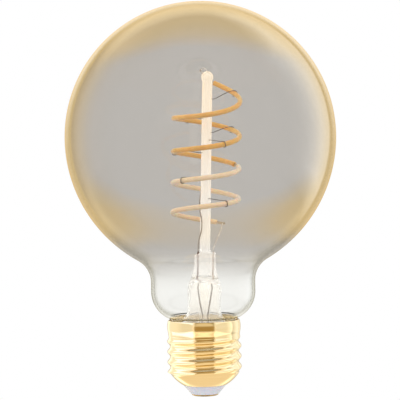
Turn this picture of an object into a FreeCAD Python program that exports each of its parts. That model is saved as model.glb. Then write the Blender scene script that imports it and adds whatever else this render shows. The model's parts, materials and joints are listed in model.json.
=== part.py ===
"""Spiral filament smart light bulb, 95 mm globe on a 27 mm Edison screw cap, in millimetres.

Frame: +Z is the bulb's axis, pointing from the cap to the globe. The origin is the middle of the centre
contact's flat face, so the whole bulb is above Z = 0. The front of the bulb faces -Y.

The glass globe is cemented into a gold-plated screw shell. A glass stem is fused into the neck and carries a
glass post, which holds a coiled filament on short wires. The driver and the radio are inside the cap. The stem
leans a little to +X, as a hand-mounted one does, so everything on it shares one leaning placement.
"""

import FreeCAD, Part

import math
import os
import re

import Sketcher

Vector = FreeCAD.Vector

# Driving dimensions, in mm, degrees or plain counts. Heights are measured from the contact's flat face.
DIMENSIONS = {
    # glass globe and neck
    "globe_diameter": 95.0,
    "overall_length": 138.0,
    "lower_globe_radius": 49.5,
    "glass_wall": 0.8,
    "neck_diameter": 36.6,
    "neck_fillet_radius": 8.8,
    "shoulder_height": 36.5,
    "shoulder_radius": 10.2,
    "seal_diameter": 23.2,
    "seal_bottom": 22.0,
    # screw shell
    "rim_height": 26.5,
    "rim_edge": 0.12,
    "skirt_diameter": 25.8,
    "skirt_bottom": 21.8,
    "skirt_taper": 0.7,
    "skirt_root_radius": 12.2,
    "thread_crest_diameter": 26.1,
    "thread_root_diameter": 24.1,
    "thread_pitch": 3.629,
    "thread_phase": 6.38,
    "thread_bottom": 7.0,
    "thread_top": 21.1,
    "thread_run_in": 0.35,
    "thread_run_out": 0.5,
    "shell_wall": 0.3,
    "shell_bottom": 3.8,
    "shell_hole_radius": 7.7,
    "dome_top": 8.3,
    "dome_radius": 12.4,
    "dome_arc_radius": 14.0,
    # insulator and centre contact
    "insulator_base": 0.6,
    "insulator_base_radius": 5.15,
    "insulator_edge": 0.2,
    "insulator_cone_radius": 7.45,
    "insulator_flange_radius": 8.3,
    "insulator_flange_bottom": 4.85,
    "insulator_top": 5.7,
    "contact_radius": 4.7,
    "contact_flat_radius": 4.2,
    "contact_edge": 0.25,
    "shank_radius": 1.25,
    "shank_top": 6.8,
    # cement between the neck and the shell
    "cement_bottom": 20.8,
    "cement_inner_radius": 8.0,
    "cement_step_radius": 11.9,
    "cement_top": 26.2,
    # stem: flare, press, exhaust tube and post
    "stem_lean": 1.8,
    "flare_radius": 5.85,
    "flare_wall": 0.8,
    "flare_curve_radius": 7.3,
    "flare_curve_top": 30.5,
    "flare_rim_radius": 10.9,
    "flare_rim_bottom": 22.4,
    "flare_top": 38.6,
    "bore_top": 40.2,
    "bore_top_radius": 2.7,
    "bore_cone_bottom": 38.0,
    "press_waist_height": 41.6,
    "press_waist_half_width": 4.9,
    "press_waist_half_depth": 2.3,
    "press_foot_height": 43.4,
    "press_foot_half_width": 4.5,
    "press_foot_half_depth": 1.8,
    "press_head_height": 49.4,
    "press_head_half_width": 3.9,
    "press_head_half_depth": 1.75,
    "press_top_height": 50.3,
    "press_top_half_width": 3.6,
    "press_top_half_depth": 1.7,
    "exhaust_radius": 2.0,
    "exhaust_bore_radius": 1.3,
    "exhaust_tip": 14.2,
    "exhaust_tip_height": 2.2,
    "exhaust_tip_arc": 2.3,
    "post_radius": 1.8,
    "post_bead_bottom": 110.6,
    "post_bead_rise": 1.1,
    "post_bead_radius": 2.15,
    "post_top": 113.7,
    # filament coil
    "coil_radius": 11.65,
    "coil_top": 106.28,
    "coil_first_pitch": 12.5,
    "coil_pitch_loss": 0.32,
    "coil_rise": 2.7,
    "coil_rise_rate": 8.0,
    "coil_tilt": 2.9,
    "coil_tilt_loss": 0.8,
    "upper_strip_start": 0.03,
    "upper_strip_end": 2.17,
    "lower_strip_start": 2.21,
    "lower_strip_end": 4.06,
    "strip_radius": 0.85,
    "channel_width": 1.0,
    "channel_depth": 0.42,
    "carrier_width": 0.9,
    "carrier_thickness": 0.12,
    "chip_length": 0.7,
    "chip_width": 0.4,
    "chip_height": 0.14,
    "chip_spacing": 2.2,
    "tab_length": 3.2,
    # wires
    "support_wire_radius": 0.13,
    "lead_wire_radius": 0.2,
    "dumet_radius": 0.28,
    "outer_lead_radius": 0.25,
    "left_lead_offset": -2.4,
    "right_lead_offset": 2.7,
    "supply_wire_radius": 0.3,
    # electronics in the cap
    "liner_radius": 11.4,
    "liner_wall": 0.25,
    "liner_bottom": 9.2,
    "liner_top": 20.6,
    "board_radius": 10.4,
    "board_thickness": 1.0,
    "board_bottom": 11.6,
    "board_notch_radius": 0.7,
    "ferrule_radius": 0.75,
    "ferrule_height": 4.0,
    "ferrule_spacing": 4.2,
    "ferrule_front": -5.2,
    "radio_width": 12.0,
    "radio_thickness": 0.8,
    "radio_height": 7.4,
    "radio_front": 4.6,
    "can_width": 6.4,
    "can_depth": 1.5,
    "can_height": 5.2,
    "can_wall": 0.2,
    "radio_chip_side": 4.0,
    "radio_chip_depth": 0.8,
    "crystal_width": 1.6,
    "crystal_height": 2.0,
    "crystal_depth": 0.5,
    "antenna_width": 5.0,
    "antenna_height": 1.4,
    "antenna_depth": 0.9,
    "header_pin_side": 0.5,
    "header_pin_pitch": 1.6,
    "header_pin_count": 6,
    "capacitor_radius": 2.5,
    "capacitor_length": 8.4,
    "capacitor_centre_height": 9.0,
    "capacitor_back": 4.4,
    "choke_radius": 2.6,
    "choke_height": 4.6,
    "choke_core_radius": 1.3,
    "choke_flange": 0.8,
    "choke_left": -5.2,
    "choke_front": -3.4,
    "bridge_width": 4.7,
    "bridge_depth": 3.9,
    "bridge_height": 1.5,
    "driver_chip_width": 4.9,
    "driver_chip_depth": 3.9,
    "driver_chip_height": 1.45,
    "resistor_radius": 1.1,
    "resistor_length": 5.6,
    "chip_part_length": 1.6,
    "chip_part_width": 0.8,
    "chip_part_height": 0.6,
}

SUPPORT_TURNS = (0.16, 0.90, 1.14, 1.415, 1.80, 2.62, 3.40)  # where each support wire holds the coil
SUPPORT_DROPS = (3.4, 1.0, 2.4, -0.8, 1.2, 0.6, -0.6)  # how far below its hook each wire leaves the post

POINTS_PER_TURN = 24


# ---- sheet ---------------------------------------------------------------------------------------------------


def make_sheet(doc):
    """Writes every driving dimension to the spreadsheet, one aliased cell each."""
    sheet = doc.addObject("Spreadsheet::Sheet", "dims")
    for row, (alias, number) in enumerate(DIMENSIONS.items(), start=1):
        sheet.set(f"A{row}", alias.replace("_", " "))
        sheet.set(f"B{row}", str(number))
        sheet.setAlias(f"B{row}", alias)
    doc.recompute()
    return sheet


DOC = FreeCAD.newDocument("filament_bulb")
SHEET = make_sheet(DOC)


def bound(expression):
    """Puts the sheet's name before each alias in an expression."""
    return re.sub(r"[a-z]\w*", lambda m: "dims." + m[0] if m[0] in DIMENSIONS else m[0], str(expression))


def size(expression):
    """The value in mm of an expression of the sheet's aliases."""
    return float(SHEET.evalExpression(bound(expression)))


# ---- builders ------------------------------------------------------------------------------------------------


def origin_plane(body, role):
    return next(f for f in body.Origin.OriginFeatures if f.Role == role)


def bow_centre(start, end, radius):
    """Centre of the arc from start to end. A positive radius puts it on the left of the way from start to end."""
    chord = end - start
    middle = (start + end) / 2
    left = Vector(-chord.y, chord.x, 0).normalize()
    reach = math.sqrt(max(radius**2 - (chord.Length / 2) ** 2, 0))
    return middle + left * math.copysign(reach, radius)


def revolved(label, outline):
    """A body turned about Z from a closed outline in the XZ plane.

    Each corner is (radius, height) or (radius, height, arc radius). An arc radius bows the side that starts at
    that corner, with its centre on the left for a positive one. Every corner is tied to the sheet."""
    body = DOC.addObject("PartDesign::Body", label)
    body.Label = label
    sketch = body.newObject("Sketcher::SketchObject", label + "_outline")
    sketch.AttachmentSupport = (origin_plane(body, "XZ_Plane"), [""])
    sketch.MapMode = "FlatFace"
    corners = [Vector(size(c[0]), size(c[1]), 0) for c in outline]
    flipped = []
    for i, corner in enumerate(outline):
        start, end = corners[i], corners[(i + 1) % len(corners)]
        flipped.append(False)
        if len(corner) == 2:
            sketch.addGeometry(Part.LineSegment(start, end), False)
            continue
        radius = size(corner[2])
        centre = bow_centre(start, end, radius)
        flipped[-1] = radius < 0
        first, last = (end, start) if radius < 0 else (start, end)
        angles = [math.atan2(p.y - centre.y, p.x - centre.x) for p in (first, last)]
        sketch.addGeometry(Part.ArcOfCircle(Part.Circle(centre, Vector(0, 0, 1), abs(radius)), *angles), False)
        named = sketch.addConstraint(Sketcher.Constraint("Radius", i, abs(radius)))
        sketch.setExpression(f"Constraints[{named}]", bound(f"abs({corner[2]})"))
    for i, corner in enumerate(outline):
        before = (i - 1) % len(outline)
        here = 2 if flipped[i] else 1
        there = 1 if flipped[before] else 2
        sketch.addConstraint(Sketcher.Constraint("Coincident", before, there, i, here))
        if corners[i].x == 0:
            sketch.addConstraint(Sketcher.Constraint("PointOnObject", i, here, -2))
        else:
            named = sketch.addConstraint(Sketcher.Constraint("DistanceX", -1, 1, i, here, corners[i].x))
            sketch.setExpression(f"Constraints[{named}]", bound(corner[0]))
        if corners[i].y == 0:
            sketch.addConstraint(Sketcher.Constraint("PointOnObject", i, here, -1))
        else:
            named = sketch.addConstraint(Sketcher.Constraint("DistanceY", -1, 1, i, here, corners[i].y))
            sketch.setExpression(f"Constraints[{named}]", bound(corner[1]))
    turn = body.newObject("PartDesign::Revolution", label + "_turn")
    turn.Profile = sketch
    turn.ReferenceAxis = (sketch, ["V_Axis"])
    turn.Angle = 360
    return body


def placed(item, x=0, y=0, z=0):
    """Ties an item's place to the sheet."""
    for axis, expression in zip("xyz", (x, y, z)):
        item.setExpression(f".Placement.Base.{axis}", bound(expression))
    return item


def box(label, width, depth, height, x, y, z):
    """A block whose lowest corner is at x, y, z."""
    block = DOC.addObject("Part::Box", label)
    block.Label = label
    for name, expression in (("Length", width), ("Width", depth), ("Height", height)):
        block.setExpression(name, bound(expression))
    return placed(block, x, y, z)


def cylinder(label, radius, height, x=0, y=0, z=0, along="Z"):
    """A round bar that starts at x, y, z and runs along X or Z."""
    bar = DOC.addObject("Part::Cylinder", label)
    bar.Label = label
    bar.setExpression("Radius", bound(radius))
    bar.setExpression("Height", bound(height))
    if along == "X":
        bar.Placement = FreeCAD.Placement(Vector(), FreeCAD.Rotation(Vector(0, 1, 0), 90))
    return placed(bar, x, y, z)


def combined(kind, label, base, tool):
    """A Part boolean of two objects: Cut, or Common."""
    made = DOC.addObject("Part::" + kind, label)
    made.Label = label
    made.Base = base
    made.Tool = tool
    return made


def fused(label, pieces):
    made = DOC.addObject("Part::MultiFuse", label)
    made.Label = label
    made.Shapes = pieces
    return made


def feature(label, shape):
    """An object for a shape that neither PartDesign nor a Part primitive makes."""
    made = DOC.addObject("Part::Feature", label)
    made.Label = label
    made.Shape = shape
    return made


def leaning():
    """The placement of everything on the stem: a small lean to +X about the seal."""
    pivot = Vector(0, 0, size("seal_bottom"))
    return FreeCAD.Placement(Vector(), FreeCAD.Rotation(Vector(0, 1, 0), size("stem_lean")), pivot)


def lean(item):
    item.Placement = leaning()
    return item


# ---- wires and strips ----------------------------------------------------------------------------------------


def bent_route(points, share=0.45):
    """Straight runs through the points, joined by tangent arcs as large as the two runs allow."""
    edges, at = [], points[0]
    for before, corner, after in zip(points, points[1:], points[2:]):
        back, ahead = before - corner, after - corner
        turn = math.pi - back.getAngle(ahead)
        trim = share * min(back.Length, ahead.Length)
        first = corner + back.normalize() * trim
        last = corner + ahead.normalize() * trim
        radius = trim / math.tan(turn / 2)
        inward = ((first + last) / 2 - corner).normalize()
        crown = corner + inward * (math.hypot(radius, trim) - radius)
        edges.append(Part.LineSegment(at, first).toShape())
        edges.append(Part.Arc(first, crown, last).toShape())
        at = last
    edges.append(Part.LineSegment(at, points[-1]).toShape())
    return Part.Wire(edges)


def wire_along(points, radius):
    """A round wire bent through the points."""
    route = bent_route(points)
    start = Part.Circle(points[0], points[1] - points[0], radius).toShape()
    solid = route.makePipeShell([Part.Wire([start])], True, False)
    wanted = math.pi * radius**2 * route.Length
    if abs(solid.Volume / wanted - 1) > 0.01:
        raise ValueError(f"a wire has {solid.Volume:.3f} mm3 and not {wanted:.3f}")
    return solid


def coil_point(turns, radius_shift=0.0, height_shift=0.0):
    """A point of the coil's centre line, in the stem's own frame, counted in turns from its top end.

    The coil starts behind the post and comes down clockwise, seen from above. Its pitch shrinks on the way down,
    its first turn rises to the post's top, and its upper turns are lower at the front than at the back."""
    angle = 2 * math.pi * turns
    front = -math.cos(angle)
    radius = size("coil_radius") + radius_shift
    height = size("coil_top") - size("coil_first_pitch") * turns + size("coil_pitch_loss") * turns**2
    height += size("coil_rise") * math.exp(-size("coil_rise_rate") * turns)
    height -= (size("coil_tilt") - size("coil_tilt_loss") * turns) * front
    return Vector(radius * math.sin(angle), radius * math.cos(angle), height + height_shift)


def coil_axes(turns):
    """Unit vectors of the coil at a point: along it, out from the post, and across both."""
    step = 0.001
    along = (coil_point(turns + step) - coil_point(turns - step)).normalize()
    outward = Vector(math.sin(2 * math.pi * turns), math.cos(2 * math.pi * turns), 0)
    across = along.cross(outward).normalize()
    return along, across.cross(along).normalize(), across


def coil_route(start, end, radius_shift=0.0):
    count = max(3, round((end - start) * POINTS_PER_TURN) + 1)
    curve = Part.BSplineCurve()
    curve.interpolate([coil_point(start + (end - start) * i / (count - 1), radius_shift) for i in range(count)])
    return Part.Wire([curve.toShape()])


def swept(route, profile):
    """Sweeps a closed profile along a route, keeping its upright side upright."""
    maker = Part.BRepOffsetAPI.MakePipeShell(route)
    maker.setBiNormalMode(Vector(0, 0, 1))
    maker.add(profile)
    maker.build()
    maker.makeSolid()
    return maker.shape()


def block_at(turns, length, width, depth, outward_shift):
    """A small block on the coil: length along it, width across it, depth out from the post."""
    along, outward, across = coil_axes(turns)
    block = Part.makeBox(length, depth, width, Vector(-length / 2, 0, -width / 2))
    turn = FreeCAD.Rotation(along, outward, across, "XYZ")
    block.Placement = FreeCAD.Placement(coil_point(turns) + outward * outward_shift, turn)
    return block


def rectangle_at(turns, width, depth, outward_shift):
    _, outward, across = coil_axes(turns)
    middle = coil_point(turns) + outward * outward_shift
    signs = ((-1, -1), (1, -1), (1, 1), (-1, 1), (-1, -1))
    return Part.makePolygon([middle + across * (a * width / 2) + outward * (b * depth / 2) for a, b in signs])


def turns_per_mm():
    return 1 / (2 * math.pi * math.hypot(size("coil_radius"), size("coil_first_pitch") / (2 * math.pi)))


def filament_strip(name, start, end):
    """One strip of the filament: its silicone coat, with a channel for the carrier and the chips in it."""
    route = coil_route(start, end)
    along = coil_axes(start)[0]
    coat = swept(route, Part.Wire([Part.Circle(coil_point(start), along, size("strip_radius")).toShape()]))
    channel = swept(route, rectangle_at(start, size("channel_width"), size("channel_depth"), 0))
    lean(feature(name + "_phosphor_coat", coat.cut(channel)))
    depth, thickness = size("channel_depth"), size("carrier_thickness")
    seat = (thickness - depth) / 2
    carrier = swept(route, rectangle_at(start, size("carrier_width"), thickness, seat))
    lean(feature(name + "_filament_carrier", carrier))
    step = size("chip_spacing") * turns_per_mm()
    count = int((end - start) / step)
    first = (start + end - (count - 1) * step) / 2
    face = seat + thickness / 2 + 0.01
    chips = [
        block_at(first + i * step, size("chip_length"), size("chip_width"), size("chip_height"), face)
        for i in range(count)
    ]
    lean(feature(name + "_led_chips", Part.makeCompound(chips)))


def filament_tabs():
    """The metal end tabs, and the splice between the two strips, each just clear of the strips' ends."""
    reach = size("tab_length") * turns_per_mm()
    gap = 0.002
    top, bottom = size("upper_strip_start"), size("lower_strip_end")
    spans = (
        (top - reach, top - gap),
        (size("upper_strip_end") + gap, size("lower_strip_start") - gap),
        (bottom + gap, bottom + reach),
    )
    tabs = []
    for start, end in spans:
        profile = rectangle_at(start, size("carrier_width"), 2 * size("carrier_thickness"), 0)
        tabs.append(swept(coil_route(start, end), profile))
    lean(feature("filament_end_tabs", Part.makeCompound(tabs)))


def hook(turns):
    """Points of an open hook that holds the coat at a place on the coil, in the plane across it."""
    _, outward, across = coil_axes(turns)
    middle = coil_point(turns)
    reach = size("strip_radius") + size("support_wire_radius") + 0.06
    return [
        middle - outward * (reach + 0.9) + across * reach,
        middle + outward * reach + across * reach,
        middle + outward * reach - across * reach,
        middle - outward * reach * 0.4 - across * reach,
    ]


def support_wires():
    """Short wires from the post to the coil, each with one end melted into the post."""
    wires = []
    for turns, drop in zip(SUPPORT_TURNS, SUPPORT_DROPS):
        ending = hook(turns)
        sideways = Vector(ending[0].x, ending[0].y, 0).normalize()
        root = sideways * (size("post_radius") - 0.9)
        root.z = ending[0].z - drop
        leave = root + sideways * 1.9
        wires.append(wire_along([root, leave, *ending], size("support_wire_radius")))
    return Part.makeCompound(wires)


def anchor_wire():
    """The curled wire in the post's top bead that carries the coil's top end."""
    end = coil_point(size("upper_strip_start") - size("tab_length") * turns_per_mm() * 0.5)
    top = size("post_top")
    curl = [
        Vector(0, 0, top - 1.6),
        Vector(-0.2, 0.2, top + 0.7),
        Vector(-1.5, -0.3, top + 1.3),
        Vector(-2.6, 0.6, top + 0.5),
        Vector(-2.2, 2.4, top + 0.1),
        Vector(-0.9, 5.2, top - 0.3),
        end + Vector(-0.3, -2.2, 0.6),
        end + Vector(0, -0.36, 0),
    ]
    return wire_along(curl, size("lead_wire_radius"))


def inner_leads():
    """The nickel wires from the press to the coil: one up the post to its top, one to the coil's lower end."""
    top = size("press_top_height")
    left = [
        Vector(size("left_lead_offset"), 0, top + 0.05),
        Vector(size("left_lead_offset"), -0.5, top + 3.2),
        Vector(-0.9, -2.35, top + 9.4),
        Vector(-2.35, -0.5, top + 16),
        Vector(-1.6, 1.9, top + 22),
        Vector(-1.5, 2.1, top + 40),
        Vector(-1.5, 2.2, size("post_bead_bottom") - 1.0),
        Vector(-1.7, 2.55, size("post_top") - 0.9),
    ]
    end = coil_point(size("lower_strip_end") + size("tab_length") * turns_per_mm() * 0.7)
    right = [
        Vector(size("right_lead_offset"), 0, top + 0.05),
        Vector(size("right_lead_offset") + 0.2, 0.1, top + 1.2),
        end + Vector(-0.7, -2.6, -2.6),
        end + Vector(0, -0.36, 0),
    ]
    return [wire_along(points, size("lead_wire_radius")) for points in (left, right)]


def ferrule_place(side):
    return Vector(side * size("ferrule_spacing") / 2, size("ferrule_front"), size("board_bottom + board_thickness"))


def outer_leads():
    """The copper wires from the press down the flare, and on into the ferrules on the board."""
    tilt = leaning()
    wires = []
    for side, offset, crossing in ((-1, "left_lead_offset", -0.4), (1, "right_lead_offset", 1.1)):
        start = size("bore_top") - 0.25
        ferrule = ferrule_place(side) + Vector(0, 0, size("ferrule_height"))
        inside = [
            Vector(size(offset), 0, start),
            Vector(size(offset), -0.4, start - 1.6),
            Vector(size(offset) * 0.8, -2.6, start - 5.2),
            Vector(size(offset) * 0.55 + 0.1, -3.1, start - 9),
            Vector(crossing, -3.2, start - 12.5),
        ]
        below = [Vector(ferrule.x, ferrule.y, ferrule.z + 2.4), ferrule]
        wires.append(wire_along([tilt.multVec(p) for p in inside] + below, size("outer_lead_radius")))
    return Part.makeCompound(wires)


def dumet_wires():
    bottom, top = size("bore_top") - 0.2, size("press_top_height")
    return Part.makeCompound(
        [
            Part.makeCylinder(size("dumet_radius"), top - bottom, Vector(size(offset), 0, bottom))
            for offset in ("left_lead_offset", "right_lead_offset")
        ]
    )


# ---- screw shell ---------------------------------------------------------------------------------------------


def threaded_column(name, wall):
    """A column whose round section circles the axis once a pitch, which is an Edison thread's rounded form.

    The circle's centre runs straight up the axis at both ends, so the thread runs in and out smoothly."""
    crest, root = size("thread_crest_diameter / 2"), size("thread_root_diameter / 2")
    swing, radius = (crest - root) / 2, (crest + root) / 2 - wall
    pitch, phase = size("thread_pitch"), size("thread_phase")
    bottom, top = size("shell_bottom"), size("skirt_bottom")
    count = round((top - bottom) / pitch * POINTS_PER_TURN)
    points = []
    for i in range(count + 1):
        height = bottom + (top - bottom) * i / count
        low = (height - size("thread_bottom")) / pitch / size("thread_run_in")
        high = (size("thread_top") - height) / pitch / size("thread_run_out")
        reach = swing * max(0.0, min(1.0, low, high))
        angle = 2 * math.pi * (height - phase) / pitch
        points.append(Vector(reach * math.cos(angle), reach * math.sin(angle), height))
    curve = Part.BSplineCurve()
    curve.interpolate(points)
    maker = Part.BRepOffsetAPI.MakePipeShell(Part.Wire([curve.toShape()]))
    maker.setTrihedronMode(Vector(), Vector(0, 0, 1))
    maker.add(Part.Wire([Part.Circle(points[0], Vector(0, 0, 1), radius).toShape()]))
    maker.build()
    maker.makeSolid()
    return feature(name, maker.shape())


def shell_form(name, wall):
    """The shell's outside for a wall of 0, or its inside for a wall of shell_wall."""
    skirt = revolved(
        name + "_skirt",
        [
            ("0", "skirt_bottom - skirt_taper"),
            (f"skirt_root_radius - {wall}", "skirt_bottom - skirt_taper"),
            (f"skirt_diameter / 2 - {wall}", "skirt_bottom"),
            (f"skirt_diameter / 2 - {wall}", f"rim_height - rim_edge + {wall}"),
            (f"skirt_diameter / 2 - rim_edge - {wall}", f"rim_height + {wall}"),
            ("0", f"rim_height + {wall}"),
        ],
    )
    dome = revolved(
        name + "_dome",
        [
            ("0", f"shell_bottom + {wall}"),
            (f"shell_hole_radius + 0.2 - {wall} / 3", f"shell_bottom + {wall}", "dome_arc_radius"),
            (f"dome_radius - {wall} / 2", f"dome_top + {wall} / 2"),
            ("skirt_diameter / 2 + 2", "dome_top + 1"),
            ("skirt_diameter / 2 + 2", "rim_height + 2"),
            ("0", "rim_height + 2"),
        ],
    )
    rough = fused(name + "_rough", [threaded_column(name + "_thread", size(wall)), skirt])
    return combined("Common", name, rough, dome)


def screw_shell():
    hole = cylinder("shell_hole", "shell_hole_radius", "shell_wall * 4", z="shell_bottom - shell_wall")
    inside = fused("shell_inside", [shell_form("shell_inner_form", "shell_wall"), hole])
    return combined("Cut", "screw_shell", shell_form("shell_outer_form", "0"), inside)


# ---- glass ---------------------------------------------------------------------------------------------------


def globe_outline(inset):
    """Heights and radii of the globe's profile, worked out where its arcs are tangent, as sheet expressions."""
    middle = "(overall_length - globe_diameter / 2)"
    run = "(lower_globe_radius + neck_fillet_radius)"
    across = "(neck_diameter / 2 + neck_fillet_radius - globe_diameter / 2 + lower_globe_radius)"
    drop = f"sqrt({run} ^ 2 - {across} ^ 2)"
    share = f"((lower_globe_radius - {inset}) / {run})"
    shoulder = "(neck_diameter / 2 - shoulder_radius)"
    seal = f"(seal_diameter / 2 - {inset})"
    return [
        (seal, f"shoulder_height - sqrt((shoulder_radius - {inset}) ^ 2 - ({seal} - {shoulder}) ^ 2)",
         f"shoulder_radius - {inset}"),
        (f"neck_diameter / 2 - {inset}", "shoulder_height"),
        (f"neck_diameter / 2 - {inset}", f"{middle} - {drop}", f"-(neck_fillet_radius + {inset})"),
        (f"globe_diameter / 2 - lower_globe_radius + {across} * {share}", f"{middle} - {drop} * {share}",
         f"lower_globe_radius - {inset}"),
        (f"globe_diameter / 2 - {inset}", middle, f"globe_diameter / 2 - {inset}"),
        ("0", f"overall_length - {inset}"),
    ]


def glass_envelope():
    blank = revolved(
        "envelope_outside",
        [("0", "seal_bottom"), ("seal_diameter / 2", "seal_bottom"), *globe_outline("0")],
    )
    inside = revolved(
        "envelope_inside",
        [
            ("0", "seal_bottom - 1"),
            ("seal_diameter / 2 - glass_wall", "seal_bottom - 1"),
            *globe_outline("glass_wall"),
        ],
    )
    return combined("Cut", "glass_envelope", blank, inside)


def press_loft():
    """The flattened press on top of the flare: ellipses that narrow from the round tube to the flat head."""
    sections = [("flare_top", "flare_radius", "flare_radius")]
    sections += [
        (f"press_{part}_height", f"press_{part}_half_width", f"press_{part}_half_depth")
        for part in ("waist", "foot", "head", "top")
    ]
    rings = []
    for i, (height, wide, deep) in enumerate(sections):
        ring = DOC.addObject("Part::Ellipse", f"press_section_{i}")
        ring.setExpression("MajorRadius", bound(wide))
        ring.setExpression("MinorRadius", bound(deep))
        rings.append(placed(ring, z=height))
    loft = DOC.addObject("Part::Loft", "press_block")
    loft.Sections = rings
    loft.Solid = True
    return loft


def stem_flare(envelope, dumet):
    """The flared tube and its press, one piece of glass, fused to the neck where they meet."""
    curve_centre = "(flare_radius + flare_curve_radius)"
    tube = revolved(
        "flare_tube",
        [
            ("0", "flare_rim_bottom"),
            ("flare_rim_radius", "flare_rim_bottom"),
            ("flare_rim_radius",
             f"flare_curve_top - sqrt(flare_curve_radius ^ 2 - (flare_rim_radius - {curve_centre}) ^ 2)",
             "-flare_curve_radius"),
            ("flare_radius", "flare_curve_top"),
            ("flare_radius", "flare_top"),
            ("0", "flare_top"),
        ],
    )
    inner_radius = "(flare_curve_radius + flare_wall)"
    bore = revolved(
        "flare_bore",
        [
            ("0", "flare_rim_bottom - 1"),
            ("flare_rim_radius - 1.1", "flare_rim_bottom - 1"),
            ("flare_rim_radius - 1.1",
             f"flare_curve_top - sqrt({inner_radius} ^ 2 - (flare_rim_radius - 1.1 - {curve_centre}) ^ 2)",
             f"-{inner_radius}"),
            ("flare_radius - flare_wall", "flare_curve_top"),
            ("flare_radius - flare_wall", "bore_cone_bottom"),
            ("bore_top_radius", "bore_top"),
            ("0", "bore_top"),
        ],
    )
    glass = lean(combined("Cut", "flare_glass", fused("flare_blank", [tube, press_loft()]), bore))
    drilled = combined("Cut", "flare_drilled", glass, dumet)
    return combined("Cut", "stem_flare", drilled, envelope)


def exhaust_tube():
    """The tube the bulb was pumped out through, sealed at its lower end."""
    tip_top = "exhaust_tip + exhaust_tip_height"
    return lean(
        revolved(
            "exhaust_tube",
            [
                ("0", "exhaust_tip", "exhaust_tip_arc"),
                ("exhaust_radius", tip_top),
                ("exhaust_radius", "bore_top"),
                ("exhaust_bore_radius", "bore_top"),
                ("exhaust_bore_radius", tip_top, "-exhaust_bore_radius"),
                ("0", f"{tip_top} - exhaust_bore_radius"),
            ],
        )
    )


def glass_post(wires):
    """The rod on the press, with a melted bead on top and the support wires set into it."""
    rod = revolved(
        "post_rod",
        [
            ("0", "press_top_height"),
            ("post_radius", "press_top_height"),
            ("post_radius", "post_bead_bottom"),
            ("post_bead_radius", "post_bead_bottom + post_bead_rise", "post_bead_radius"),
            ("0", "post_bead_bottom + post_bead_rise + post_bead_radius"),
        ],
    )
    return combined("Cut", "glass_post", lean(rod), wires)


# ---- cap fittings --------------------------------------------------------------------------------------------


def base_insulator():
    return revolved(
        "base_insulator",
        [
            ("shank_radius", "insulator_base"),
            ("insulator_base_radius - insulator_edge", "insulator_base"),
            ("insulator_base_radius", "insulator_base + insulator_edge"),
            ("insulator_cone_radius", "shell_bottom - 0.25"),
            ("insulator_cone_radius", "shell_bottom"),
            ("shell_hole_radius - 0.1", "shell_bottom"),
            ("shell_hole_radius - 0.1", "shell_bottom + shell_wall + 0.1"),
            ("insulator_flange_radius", "insulator_flange_bottom"),
            ("insulator_flange_radius", "insulator_top"),
            ("shank_radius", "insulator_top"),
        ],
    )


def centre_contact():
    """A nail whose flat head is the contact, and whose shank grips the centre wire."""
    return revolved(
        "centre_contact",
        [
            ("0", "0"),
            ("contact_flat_radius", "0"),
            ("contact_radius", "contact_edge"),
            ("contact_radius", "insulator_base"),
            ("shank_radius", "insulator_base"),
            ("shank_radius", "shank_top"),
            ("0", "shank_top"),
        ],
    )


def capping_cement(envelope, side_wire):
    ring = revolved(
        "cement_ring",
        [
            ("cement_inner_radius", "cement_bottom"),
            ("cement_step_radius", "cement_bottom"),
            ("cement_step_radius", "skirt_bottom"),
            ("skirt_diameter / 2 - shell_wall", "skirt_bottom + 0.05"),
            ("skirt_diameter / 2 - shell_wall", "cement_top - 0.3"),
            ("skirt_diameter / 2 - shell_wall - 0.4", "cement_top"),
            ("seal_diameter / 2", "cement_top"),
            ("seal_diameter / 2", "seal_bottom"),
            ("cement_inner_radius", "seal_bottom"),
        ],
    )
    return combined("Cut", "capping_cement", combined("Cut", "cement_cast", ring, envelope), side_wire)


# ---- electronics ---------------------------------------------------------------------------------------------

BOARD_TOP = "board_bottom + board_thickness"


def driver_board():
    disc = cylinder("board_disc", "board_radius", "board_thickness", z="board_bottom")
    notches = fused(
        "board_notches",
        [
            cylinder("board_notch_side", "board_notch_radius", "board_thickness * 3", x="-board_radius",
                     z="board_bottom - board_thickness"),
            cylinder("board_notch_back", "board_notch_radius", "board_thickness * 3", y="-board_radius",
                     z="board_bottom - board_thickness"),
        ],
    )
    combined("Cut", "driver_board", disc, notches)


def lead_ferrules():
    """Two crimp barrels on the board, each holding the end of an outer lead."""
    barrels = []
    for side in (-1, 1):
        place = ferrule_place(side)
        barrel = Part.makeCylinder(size("ferrule_radius"), size("ferrule_height + 1"), place)
        barrels.append(barrel.cut(Part.makeCylinder(size("ferrule_radius - 0.3"), size("ferrule_height + 1"), place)))
    return Part.makeCompound(barrels)


def insulating_liner():
    """A thin plastic sleeve between the board and the screw shell."""
    outside = cylinder("liner_outside", "liner_radius", "liner_top - liner_bottom", z="liner_bottom")
    inside = cylinder("liner_inside", "liner_radius - liner_wall", "liner_top - liner_bottom + 2",
                      z="liner_bottom - 1")
    combined("Cut", "insulating_liner", outside, inside)


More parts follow.
